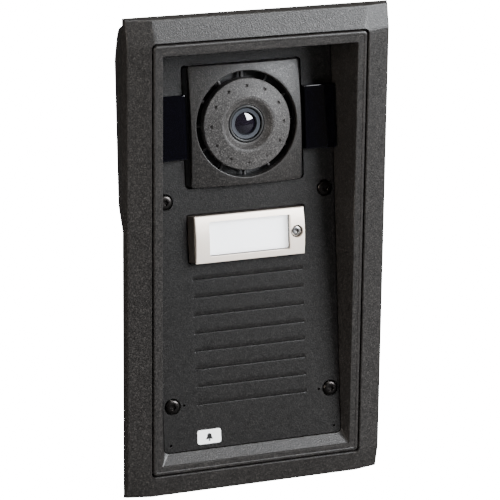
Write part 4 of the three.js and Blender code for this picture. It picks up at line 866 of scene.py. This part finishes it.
def louvre_tool(lip):
    """The scoop: up over the rolled lip, through the slit, and up the ramp."""
    roll = np.radians(np.linspace(90, 12, 7))
    curve = np.stack([lip + ROLL_REACH * (np.cos(roll) - 1), ROLL_DROP * (np.sin(roll) - 1)], -1)
    above = lip + SLIT
    full = np.vstack([(lip - ROLL_REACH, 0.6), curve, (lip, -0.7), (lip, SLIT_BACK), (above, SLIT_BACK),
                      (above, -0.62), (lip + 1.2, -0.4), (lip + 2.7, 0.02), (lip + 2.7, 0.6)])

    def section(share):
        return np.column_stack([full[:, 0], np.where(full[:, 1] < 0, full[:, 1] * share, full[:, 1])])

    return pressed(LOUVRE_WIDTH / 2, ((0, 0.1), (0.5, 0.6), (1.6, 1.0)), section)


def louvre_bead(lip):
    """The rounded edge that pressing leaves along a lip."""
    around = np.linspace(0, 2 * math.pi, BEAD_STEPS, endpoint=False)

    def section(share):
        return np.stack([lip + BEAD_REACH * (np.cos(around) - 1),
                         BEAD_HEIGHT * share * np.sin(around) - BEAD_SINK], -1)

    return pressed(LOUVRE_WIDTH / 2 - 0.3, ((0, 0.15), (0.4, 0.75), (1.2, 1.0)), section)


lip_lines = [LOUVRE_FIRST + LOUVRE_PITCH * row for row in range(LOUVRE_COUNT)]
finished(skin("louvre_lips", *[louvre_bead(lip) for lip in lip_lines], sharp=60), plate_paint)
louvres = skin("louvres", *[louvre_tool(lip) for lip in lip_lines])

# %% Plate: openings for the camera, the button, the badge and the screws
CAMERA_BASE, BUTTON_BASE, OPENING_GAP, BADGE_GAP = 61.0, 60.8, 0.5, 0.2
OPENING_EDGE, BEHIND = 0.15, -4.0
DRAIN_SIDE, DRAIN_S, SMALL_HOLE = 3.55, 3.9, 0.6
COUNTERBORE, COUNTERBORE_N, SHANK_HOLE = 4.1, -1.1, 2.3

plate_screws = {node: middle_of(plate_box(node)) for node in frame["nodes"] if node.startswith("plate_screw")}
small_places = [middle_of(plate_box(f"mic_boot_{side}")) for side in ("left", "right")]
small_places += [(side * (plate_width / 2 - DRAIN_SIDE), DRAIN_S) for side in (-1, 1)]
bezel_box, button_box, badge_box = (plate_box(node) for node in ("camera_bezel", "button_face", "badge_plate"))
camera_x, camera_s = middle_of(bezel_box)
button_s = middle_of(button_box)[1]


def window_tool(name, size, place, radius, n0=BEHIND):
    """A rounded opening of a size about a place, with a small chamfer at the plate's face."""
    plain, wide = (ring(size[0] + 2 * more, size[1] + 2 * more, radius + more, *place)
                   for more in (0, OPENING_EDGE))
    return skin(name, tube(stacked([(plain, n0), (plain, -OPENING_EDGE), (wide, 0.0), (wide, 1.0)])))


camera_hole = (CAMERA_BASE + 2 * OPENING_GAP, size_of(bezel_box)[1] + 2 * OPENING_GAP)
button_hole = (BUTTON_BASE + 2 * OPENING_GAP, size_of(button_box)[1] + 2 * OPENING_GAP)
carve(front_plate, louvres, window_tool("camera_hole", camera_hole, (0, camera_s), 2.1),
      window_tool("button_hole", button_hole, (0, button_s), 1.0),
      window_tool("badge_seat", size_of(badge_box) + 2 * BADGE_GAP, middle_of(badge_box), 1.3, -0.8),
      rods("counterbores", plate_screws.values(), COUNTERBORE, COUNTERBORE_N, 0.0, 64, flare=0.18),
      rods("screw_shanks", plate_screws.values(), SHANK_HOLE, BEHIND, COUNTERBORE_N + 0.2),
      rods("small_holes", small_places, SMALL_HOLE, BEHIND, 0.0, 24, flare=0.08), sharp=28)
finished(front_plate, plate_paint, ["front_plate"])

# %% [markdown]
# ## Screws
#
# A six-lobed screw is a turned head whose inner rows aren't circles: their radius swings six times on the
# way round. So a head is one grid in polar form, and only the rows inside the socket have the swing.

# %% A screw head with a six-lobed socket
TIP = 0.02  # radius of a turned part's last row, which closes on its axis
LOBES, LOBE_SWING, HEAD_WALL = 6, 0.13, 0.45  # the head's wall is a share of its height


def six_lobes(angle):
    """The factor of a socket's radius at each angle."""
    return 1 + LOBE_SWING * np.cos(LOBES * angle)


def screw_body(x, s, n_range, shank, head, head_height, socket, deep, steps=96):
    """Rows from the tip up the shank, over the domed head and down into the socket."""
    foot, top = n_range
    under, flat = top - head_height, socket * 1.45
    dome_angle = np.radians(np.linspace(0, 90, 7))
    dome = zip(flat + (head - flat) * np.cos(dome_angle),
               under + head_height * (HEAD_WALL + (1 - HEAD_WALL) * np.sin(dome_angle)))
    outer = [(TIP, foot), (shank - 0.4, foot), (shank, foot + 0.5), (shank, under), (head - 0.15, under),
             (head, under + 0.15), *dome]
    well = [(socket + 0.08, top), (socket, top - 0.08), (socket * 0.97, top - deep), (TIP, top - deep - 0.15)]
    return tube(np.concatenate([turned(outer, x, s, steps), turned(well, x, s, steps, six_lobes)]))


def facing_back(points):
    """Like on_wall, but n runs into the wall."""
    return on_wall(points) * (1, -1, 1)


print("a socket's radius swings by", LOBE_SWING, LOBES, "times round")

# %% Plate screws and frame screws
for node, (x, s) in plate_screws.items():
    low, high = plate_box(node)
    made = skin(node + "_turned", screw_body(x, s, (low[2], high[2]), 2.0, 3.7, 1.9, 1.45, 1.1))
    finished(made, dark_steel, [node])

for node, (x, z) in frame_screws.items():
    low, high = wall_box(node)
    made = skin(node + "_turned", screw_body(x, z, (-high[2], -low[2]), 1.5, 2.8, 2.0, 1.1, 1.0, 72),
                place=facing_back)
    finished(made, steel, [node])

# %% [markdown]
# ## The camera's bezel
#
# The bezel is a square cut from a large, shallow dome, with a round hole. Its rows change from the hole's
# circle to the outer square a little at a time, so the grid runs cleanly between the two, and every row
# takes its height from the dome: n = crown - R + sqrt(R*R - r*r).

# %% Bezel
DOME_RADIUS, SLOT_RADIUS, BEZEL_BACK, BEZEL_CORNER = 165.0, 26.0, 1.4, 0.9
BORE_EDGE, FACE_EDGE = 0.55, 0.35
face_size = size_of(bezel_box)
hole_edge = SLOT_RADIUS + 0.5  # the bezel's highest point is the edge of its hole
dome_crown = bezel_box[1][2] + DOME_RADIUS - math.sqrt(DOME_RADIUS ** 2 - hole_edge ** 2)


def domed(row, lower=0.0):
    """A row with the dome's height over the plate at each of its points."""
    away = np.linalg.norm(row - (camera_x, camera_s), axis=1)
    return row, dome_crown - DOME_RADIUS + np.sqrt(DOME_RADIUS ** 2 - away ** 2) - lower


def bezel_row(inset):
    """The bezel's outline, drawn in by an inset."""
    return ring(*(face_size - 2 * inset), max(BEZEL_CORNER - inset, 0.2), camera_x, camera_s, side=48, arc=4)


def bore_row(radius):
    """A circle that matches the bezel's outline point for point."""
    return circle_in(bezel_row(0), radius, camera_x, camera_s)


inner_row, outer_row = bore_row(SLOT_RADIUS + BORE_EDGE), bezel_row(FACE_EDGE)
levels = [(bore_row(SLOT_RADIUS), BEZEL_BACK)]
levels += [domed(bore_row(SLOT_RADIUS + inset), drop) for inset, drop in rounding(BORE_EDGE)]
levels += [domed(inner_row + (outer_row - inner_row) * share) for share in np.linspace(0, 1, 12)[1:]]
levels += [domed(bezel_row(inset), drop) for inset, drop in rounding(FACE_EDGE, 3)[-2::-1]]
levels += [(bezel_row(0), BEZEL_BACK + 0.1), (bezel_row(0.1), BEZEL_BACK)]
finished(skin("camera_bezel_cover", tube(stacked(levels), "looped"), sharp=40), cast_paint, ["camera_bezel"],
         even=False)

# %% [markdown]
# Under the bezel is a black plastic body that spreads a little towards the plate. Its round well is the
# dark ring round the camera's disc, and twelve short spokes cross it.

# %% Camera body
BODY_BACK, BODY_FLOOR, BODY_TOP, BODY_BORE = -9.0, -4.0, 1.1, 8.0
FLANGE, FLANGE_BACK, FLANGE_FRONT = 3.0, -4.8, -2.8


def body_row(width, inset=0.0):
    """The body's outline at a width, drawn in by an inset."""
    height = face_size[1] - 0.2 - 2 * inset
    return ring(width - 2 * inset, height, 1.6, camera_x, camera_s, side=14)


def well(radius):
    """A circle that matches the body's outline point for point."""
    return circle_in(body_row(CAMERA_BASE), radius, camera_x, camera_s)


base, flange = body_row(CAMERA_BASE), body_row(CAMERA_BASE + 2 * FLANGE, -FLANGE - 0.3)
body_levels = [
    (well(BODY_BORE), BODY_BACK), (base, BODY_BACK), (base, FLANGE_BACK), (flange, FLANGE_BACK),
    (flange, FLANGE_FRONT), (base, FLANGE_FRONT), (base, -2.5), (base, -0.3),
    (body_row(face_size[0] + 0.2), 0.7), (body_row(face_size[0] - 0.2), 0.95),
    (body_row(face_size[0] - 0.8, 0.3), BODY_TOP), (well(SLOT_RADIUS + 0.3), BODY_TOP),
    (well(SLOT_RADIUS), BODY_TOP - 0.3), (well(SLOT_RADIUS), BODY_FLOOR), (well(BODY_BORE), BODY_FLOOR),
]
finished(skin("camera_body_moulding", tube(stacked(body_levels), "looped"), sharp=30), black_plastic,
         ["camera_body"])

# %% Spokes
SPOKE_COUNT, SPOKE_WIDTH, SPOKE_START, SPOKE_FOOT, SPOKE_SIDE, SPOKE_RISE = 12, 1.4, 20.2, -1.5, -0.1, 0.4
HUB = [(17.0, -3.7), (19.0, -3.7), (19.0, -1.5), (21.0, -1.5), (21.0, 0.1), (20.8, 0.3), (17.2, 0.3), (17.0, 0.1)]


def spoke(angle):
    """A bar from the hub to the well's wall, with a half-round top, turned by an angle."""
    half, wide = np.radians(np.linspace(0, 180, 9)), SPOKE_WIDTH / 2
    top = np.stack([wide * np.cos(half), SPOKE_SIDE + SPOKE_RISE * np.sin(half)], -1)
    across, n = np.vstack([(wide, SPOKE_FOOT), top, (-wide, SPOKE_FOOT)]).T
    out = np.array([[SPOKE_START], [SLOT_RADIUS - 0.3]])
    return tube(np.stack([camera_x + out * math.cos(angle) - across * math.sin(angle),
                          camera_s + out * math.sin(angle) + across * math.cos(angle),
                          np.broadcast_to(n, (2, len(n)))], -1))


hub = tube(turned(HUB, camera_x, camera_s), "looped")
spokes = [spoke(2 * math.pi * i / SPOKE_COUNT) for i in range(SPOKE_COUNT)]
spoke_ring = skin("camera_spokes", hub, *spokes, sharp=35)
spoke_plastic = moulded("black_plastic", (0.03, 0.028, 0.027), 0.4, name="spoke_plastic")
finished(spoke_ring, spoke_plastic, ["camera_spoke_ring"])

# %% [markdown]
# ## The camera's disc
#
# The disc is a shallow cone with a bowl turned into it for the lens. Twelve small holes are set in a
# circle. They are part of the same height formula: near each hole's centre the cone's height is lowered
# by a smooth step, so the grid needs no cutting.

# %% Disc
DISC_RADIUS, DISC_BACK, DISC_EDGE, EDGE_N, CONE_RISE = 22.5, 0.6, 0.5, 5.9, 1.85
CONE_END, BOWL_START, LENS_RADIUS, BOWL_DEPTH = 13.9, 12.0, 9.4, 2.2
HOLE_COUNT, HOLE_PITCH, HOLE_RADIUS, HOLE_DEPTH, HOLE_EDGE = 12, 18.9, 0.6, 0.9, 0.2


def disc_profile():
    """(radius, n) from the back, out and up the rim, over the cone, and down the bowl to the lens."""
    rim = [(DISC_RADIUS - inset, EDGE_N - drop) for inset, drop in rounding(DISC_EDGE)]
    cone = np.linspace(DISC_RADIUS - DISC_EDGE, CONE_END, 46)[1:]
    cone_n = EDGE_N + (DISC_RADIUS - DISC_EDGE - cone) / (DISC_RADIUS - CONE_END - DISC_EDGE) * CONE_RISE
    lip_n = EDGE_N + CONE_RISE - 0.01
    lip = [(CONE_END - (CONE_END - BOWL_START) * t, lip_n - 0.12 * t ** 2 - 0.5 * t ** 4)
           for t in np.linspace(0, 1, 12)[1:]]
    bowl = [(BOWL_START - (BOWL_START - LENS_RADIUS) * t, lip_n - 0.62 - BOWL_DEPTH * (1 - (1 - t) ** 1.5))
            for t in np.linspace(0, 1, 10)[1:]]
    return [(LENS_RADIUS, DISC_BACK), (DISC_RADIUS, DISC_BACK), *rim, *zip(cone, cone_n), *lip, *bowl]


disc_grid = turned(disc_profile(), camera_x, camera_s, 240)
hole_angle = 2 * math.pi * np.arange(HOLE_COUNT) / HOLE_COUNT
holes = np.stack([camera_x + HOLE_PITCH * np.cos(hole_angle), camera_s + HOLE_PITCH * np.sin(hole_angle)], -1)
away = np.linalg.norm(disc_grid[..., None, :2] - holes, axis=-1).min(-1)
step = np.clip((HOLE_RADIUS + HOLE_EDGE - away) / (2 * HOLE_EDGE), 0, 1)
on_cone = disc_grid[..., 2] > EDGE_N / 2
disc_grid[..., 2] -= np.where(on_cone, HOLE_DEPTH * step * step * (3 - 2 * step), 0)
finished(skin("camera_disc_cover", tube(disc_grid, "looped"), sharp=50), disc_paint, ["camera_disc"], even=False)

# %% [markdown]
# ## The lens
#
# Three turned parts make the lens: a thin black ring, a coated barrel whose flat front is blue-grey, and
# the glass, which is a low dome inside the barrel.

# %% Lens ring, barrel and glass
LENS_STEPS = 128
RING_IN, RING_OUT, RING_BACK, RING_TOP = 7.9, 9.1, 1.2, 4.9
BARREL = [(4.1, -17.0), (7.6, -17.0), (7.6, 3.85), (7.45, 4.1), (6.2, 3.95), (6.1, 4.02), (5.75, 3.98), (5.65, 3.8),
          (5.55, 2.9), (5.5, 0.0), (4.1, 0.0)]
GLASS_RADIUS, GLASS_BACK, GLASS_EDGE, GLASS_TOP = 5.3, 0.2, 2.6, 3.6

edge = rounding(0.35)
ring_profile = [(RING_IN, RING_BACK), (RING_OUT, RING_BACK)] + [(RING_OUT - i, RING_TOP - d) for i, d in edge]
ring_profile += [(RING_IN + i, RING_TOP - d) for i, d in edge[::-1]]
share = np.sin(np.radians(np.linspace(90, 0, 22)))[:-1]
dome = zip(GLASS_RADIUS * share, GLASS_TOP - (GLASS_TOP - GLASS_EDGE) * share ** 2)
glass_profile = [(TIP / 2, GLASS_BACK), (GLASS_RADIUS, GLASS_BACK), *dome, (TIP / 2, GLASS_TOP)]

for name, stands_for, profile, ends, sharp, finish in (
        ("lens_ring_turned", "lens_ring", ring_profile, "looped", 40, black_plastic),
        ("lens_barrel_turned", "lens_barrel", BARREL, "looped", 40, lens_coat),
        ("lens_glass_dome", "lens_glass", glass_profile, "capped", 60, lens_glass)):
    made = skin(name, tube(turned(profile, camera_x, camera_s, LENS_STEPS), ends), sharp=sharp)
    finished(made, finish, [stands_for], even=finish is not lens_glass)

# %% [markdown]
# ## The infrared windows
#
# Two smoked windows stand beside the camera, over small boards of infrared lamps. Each is a hollow
# moulding with softly rounded edges, polished to a deep gloss.

# %% Infrared windows
IR_CORNER, IR_EDGE, IR_WALL = 0.6, 0.45, 1.8

for side in ("left", "right"):
    node = f"ir_window_{side}"
    box = plate_box(node)
    size, place, foot, top = size_of(box), middle_of(box), box[0][2], box[1][2]
    outer = [(0, foot)] + [(inset, top - drop) for inset, drop in rounding(IR_EDGE)] + [(IR_EDGE + 0.3, top)]
    shell, hollow = (
        tube(stacked([(ring(*(size - 2 * inset), max(IR_CORNER - 0.5 * inset, 0.3), *place), n)
                      for inset, n in levels]))
        for levels in (outer, [(IR_WALL, foot - 1), (IR_WALL, top - IR_WALL)]))
    made = carve(skin(node + "_moulding", shell), skin("hollow", hollow))
    finished(made, smoked_acrylic, [node])

# %% [markdown]
# ## The call button
#
# The button's face is a nickel-plated casting, straight from side to side and bulged from top to bottom
# like a slice of a barrel. A grid in x and s gives it that one curvature: n rises by the bulge times
# 1 - (s / half) squared. Its edges are rounded by lowering the last rows, and the name window and the
# screw's counterbore are cut through it.

# %% Button face
BULGE, FACE_BACK, BUTTON_EDGE = 1.4, 3.6, 0.45
COLUMN_LINES, ROW_LINES = 30, 24
button_top = button_box[1][2]
button_half = size_of(button_box) / 2


def rounded_lines(half, edge, inner):
    """Places from one side to the other, with a quarter round at both ends, and how much each drops."""
    ends = [(-half + inset, drop) for inset, drop in rounding(edge)]
    middle = [(place, 0.0) for place in np.linspace(-half + edge, half - edge, inner)[1:-1]]
    return np.array(ends + middle + [(-place, drop) for place, drop in ends[::-1]])


columns = rounded_lines(button_half[0], BUTTON_EDGE, COLUMN_LINES)
rows = rounded_lines(button_half[1], BUTTON_EDGE, ROW_LINES)
face_x, face_s = np.meshgrid(columns[:, 0], rows[:, 0], indexing="ij")
drop = np.maximum(columns[:, 1][:, None], rows[:, 1][None, :])
face_n = button_top - BULGE * (face_s / button_half[1]) ** 2 - drop
front = np.stack([face_x, face_s + button_s, face_n], -1)
behind = np.stack([face_x, face_s + button_s, np.full_like(face_n, FACE_BACK)], -1)
border = np.concatenate([front[:, 0], front[-1, 1:], front[::-1, -1][1:], front[0, ::-1][1:-1]])
border_back = border.copy()
border_back[:, 2] = FACE_BACK
button_face = skin("button_face_casting", patch(front), patch(behind),
                   tube(np.stack([border, border_back]), "open"), sharp=40)
print("the button's face bulges by", BULGE, "mm")

# %% Button face: the openings for the name and the screw
NAME_SIZE, NAME_CORNER, NAME_BEVEL = np.array([42.4, 17.3]), 0.8, 0.5
SCREW_WELL, SCREW_WELL_DEPTH, SCREW_NOTCH = 3.2, 2.1, 3.5

button_screw_box = plate_box("button_screw")
button_screw_at = (middle_of(button_screw_box)[0], button_s)
screw_foot, screw_top = button_screw_box[0][2], button_screw_box[1][2]
name_hole = ring(*NAME_SIZE, NAME_CORNER, 0, button_s)
name_bevel = ring(*(NAME_SIZE + 2 * NAME_BEVEL), NAME_CORNER + NAME_BEVEL, 0, button_s)
window_cut = skin("window_cut", tube(stacked([
    (name_hole, 0), (name_hole, button_top - BULGE * 0.75), (name_bevel, button_top + 1)])))
screw_cut = rods("screw_cut", [button_screw_at], SCREW_WELL, screw_top - SCREW_WELL_DEPTH, button_top + 0.4, 64)
carve(button_face, window_cut, screw_cut, sharp=30)
finished(button_face, nickel, ["button_face"], "call_button")

# %% Button screw, window and card
turned_screw = skin("button_screw_turned",
                    screw_body(*button_screw_at, (screw_foot, screw_top), 1.5, 2.7, 1.8, 1.15, 1.0))
finished(turned_screw, steel, ["button_screw"], "call_button")


def sheet_row(size, corner, place, share=1.0):
    """The outline of a small sheet at any inset, for rounded_slab."""
    return lambda inset: ring(*(size - 2 * inset), corner - inset * share, *place)


for node, finish, edge in (("name_window", clear_acrylic, 0.2), ("name_card", card, 0.05)):
    box = plate_box(node)
    foot, top = box[0][2], box[1][2]
    made = skin(node + "_sheet", rounded_slab(sheet_row(size_of(box), NAME_CORNER, (0, button_s)), foot, top, edge))
    carve(made, rods("notch", [button_screw_at], SCREW_NOTCH, foot - 1, top + 1, 48))
    finished(made, finish, [node], "call_button")

# %% [markdown]
# ## The badge
#
# The small white plate in the corner carries a plain bell sign, which is what a visitor looks for beside
# a call button. The bell's half width is drawn through a few heights from its rim to its crown, and the
# sign stands a tenth of a millimetre proud.

# %% Badge with a bell sign
BELL_HEIGHTS = [0, 0.12, 0.2, 0.5, 0.8, 0.93, 1.0]
BELL_HALVES = [2.15, 2.05, 1.6, 1.35, 1.15, 0.75, 0.05]
BELL_FOOT, BELL_HEIGHT, CLAPPER_FOOT, SIGN_SIZE = -1.35, 3.4, -1.95, 0.9
badge_at, badge_foot, badge_top = middle_of(badge_box), badge_box[0][2], badge_box[1][2]

badge_row = sheet_row(size_of(badge_box), 1.1, badge_at, 0.5)
badge = skin("badge_tile", rounded_slab(badge_row, badge_foot, badge_top, 0.15))
finished(badge, white_plastic, ["badge_plate"])

level = np.linspace(0, 1, 24)
half = np.interp(level, BELL_HEIGHTS, BELL_HALVES)
left_line = np.stack([-half, BELL_FOOT + BELL_HEIGHT * level], -1)
bell_line = np.vstack([left_line, (left_line * (-1, 1))[::-1][1:]])
clapper_angle = np.linspace(0, 2 * math.pi, 25)[:-1]
clapper_line = np.stack([0.55 * np.cos(clapper_angle), 0.5 * np.sin(clapper_angle) + CLAPPER_FOOT], -1)
sign = skin("badge_bell", *[tube(stacked([(line * SIGN_SIZE + badge_at, n)
                                          for n in (badge_top - 0.05, badge_top + 0.06)]))
                            for line in (bell_line, clapper_line)])
finished(sign, black_plastic, (), even=False)

# %% [markdown]
# ## Cable glands
#
# Two glands close the cable holes in the box's back. A gland is a hexagon, a ribbed dome nut and a
# threaded neck round one bore. The hexagon is a row whose radius follows the flat sides, and the ribs
# are a small swing of the dome's radius.

# %% Cable glands
GLAND_BORE, NECK, DOME, HEX_HALF, HEX_LENGTH, DOME_LENGTH = 3.0, 6.0, 7.5, 9.0, 5.0, 8.0
RIBS, RIB_SWING = 18, 0.025


def gland(x, z, low_n, high_n):
    """Rows from the inner end of the neck out over the hexagon and the ribbed dome, then back through
    the bore. Each row's radius is a function of the angle."""
    angle = np.linspace(0, 2 * math.pi, 144, endpoint=False)
    plain = np.ones_like(angle)
    six = HEX_HALF * math.cos(math.pi / 6) / np.cos((angle + math.pi / 6) % (math.pi / 3) - math.pi / 6)
    ribs = 1 + RIB_SWING * np.clip(np.cos(RIBS * angle) * 3, -1, 1)
    hex_foot = low_n + DOME_LENGTH
    hex_top = hex_foot + HEX_LENGTH
    rows = [(GLAND_BORE * plain, high_n), (NECK * plain, high_n), (NECK * plain, hex_top), (six - 0.3, hex_top),
            (six, hex_top - 0.3), (six, hex_foot + 0.3), (six - 0.3, hex_foot), (DOME * plain, hex_foot),
            (DOME * ribs, hex_foot - 0.4), (DOME * ribs, hex_foot - 4.2), (6.6 * ribs, low_n + 2.0),
            (5.4 * plain, low_n + 0.4), (4.8 * plain, low_n), ((GLAND_BORE + 0.3) * plain, low_n),
            (GLAND_BORE * plain, low_n + 0.3)]
    radius = np.stack([row for row, _ in rows])
    n = np.array([height for _, height in rows])[:, None] + 0 * angle
    return tube(np.stack([x + radius * np.cos(angle), z + radius * np.sin(angle), n], -1), "looped")


for side, (x, z) in gland_places.items():
    low, high = gland_boxes[side]
    made = skin(f"cable_gland_{side}_moulding", gland(x, z, low[2], high[2]), place=on_wall, sharp=28)
    finished(made, black_plastic, [f"cable_gland_{side}"])

# %% [markdown]
# ## Parts that keep their CAD shape
#
# What sits behind the plate has the right shape already, and is seen only through slits or with the panel
# taken apart. Those nodes keep their meshes and get the finish of what they are made of.

# %% Finishes for the CAD nodes that stay
KEPT = {  # what the names of the nodes start with
    rubber: ("wall_gasket", "plate_gasket", "mic_boot"),
    dark_plastic: ("button_body", "switch_cap", "gland_nut"),
    black_plastic: ("button_guide", "switch_body", "tamper_switch", "door_relay"),
    steel: ("button_spring", "mic_capsule", "network_socket", "board_screw"),
    circuit_board: ("ir_board", "camera_board", "button_board", "main_board"),
    dark_steel: ("image_sensor", "speaker_basket"),
    paper: ("speaker_membrane", "speaker_cone"),
    ferrite: ("speaker_magnet",),
    terminal_green: ("terminal_block",),
}
kept = [(node, finish) for finish, starts in KEPT.items() for node in frame["nodes"] if node.startswith(starts)]
for node, finish in kept:
    for socket in frame["nodes"][node].material_slots:
        socket.material = finish.material
print("kept nodes:", len(kept))

# %% [markdown]
# ## Floor and light
#
# The panel stands on a plain floor. It is pure white where the camera sees it directly, because it glows
# for camera rays only; for other rays it is pale cloth, and glossy parts mirror it as a dark floor.
#
# The key light is a large soft box, high on the right. A small warm one on the left opens the shadows, and
# one overhead draws the upper edges. The world gives almost nothing, so the black stays black.

# %% Floor
FLOOR_GAP, FLOOR_SIDE, FLOOR_NEAR, FLOOR_FAR = 0.0004, 4, -1.2, 6
FLOOR_GLOW = 16.0

floor_z = cad_box[0].z - FLOOR_GAP
floor_mesh = bpy.data.meshes.new("floor")
floor_mesh.from_pydata([(x, y, floor_z) for x, y in (
    (-FLOOR_SIDE, FLOOR_NEAR), (FLOOR_SIDE, FLOOR_NEAR), (FLOOR_SIDE, FLOOR_FAR), (-FLOOR_SIDE, FLOOR_FAR))],
    [], [(0, 1, 2, 3)])
floor = linked(bpy.data.objects.new("floor", floor_mesh))
pale = Finish("pale_floor", Specular_IOR_Level=0.1, Emission_Strength=FLOOR_GLOW)
seen_directly = pale.node("ShaderNodeLightPath", output="Is Camera Ray")
mirrored = pale.node("ShaderNodeLightPath", output="Is Glossy Ray")
cloth = pale.mix(pale.noise(0.4, 2.0), (0.88, 0.88, 0.88), (0.92, 0.92, 0.92))
pale.paint(pale.mix(mirrored, cloth, (0.05, 0.05, 0.05)), 0.8 + 0.1 * pale.noise(0.05),
           Emission_Color=pale.mix(seen_directly, (0.0, 0.0, 0.0), (1.0, 1.0, 1.0)))
floor_mesh.materials.append(pale.material)
print("floor at", round(floor_z, 4))


# %% Lights
def soft_box(name, place, size, power, colour=(1, 1, 1)):
    """A rectangular light at a place, turned to look at the panel's middle."""
    light = bpy.data.lights.new(name, "AREA")
    light.shape, light.size, light.size_y = "RECTANGLE", *size
    light.energy, light.color = power, colour
    lamp = linked(bpy.data.objects.new(name, light))
    lamp.location = place
    lamp.rotation_euler = (-Vector(place)).to_track_quat("-Z", "Y").to_euler()


soft_box("key", (0.80, -0.85, 0.60), (0.72, 0.70), 64.0, (0.93, 0.96, 1.0))
soft_box("fill", (-1.2, -0.42, 0.3), (0.2, 0.3), 9.0, (1.0, 0.92, 0.84))
soft_box("top", (0.1, -0.05, 1.3), (0.5, 0.3), 18.0)

world = bpy.data.worlds.new("studio")
world.use_nodes = True
background = world.node_tree.nodes["Background"]
background.inputs["Color"].default_value = (1.0, 0.92, 0.84, 1)
background.inputs["Strength"].default_value = 0.09
bpy.context.scene.world = world

# %% Print the CAD box and finish
bpy.context.view_layer.update()
print("CAD box   ", [[round(c / MM, 2) for c in corner] for corner in cad_box])
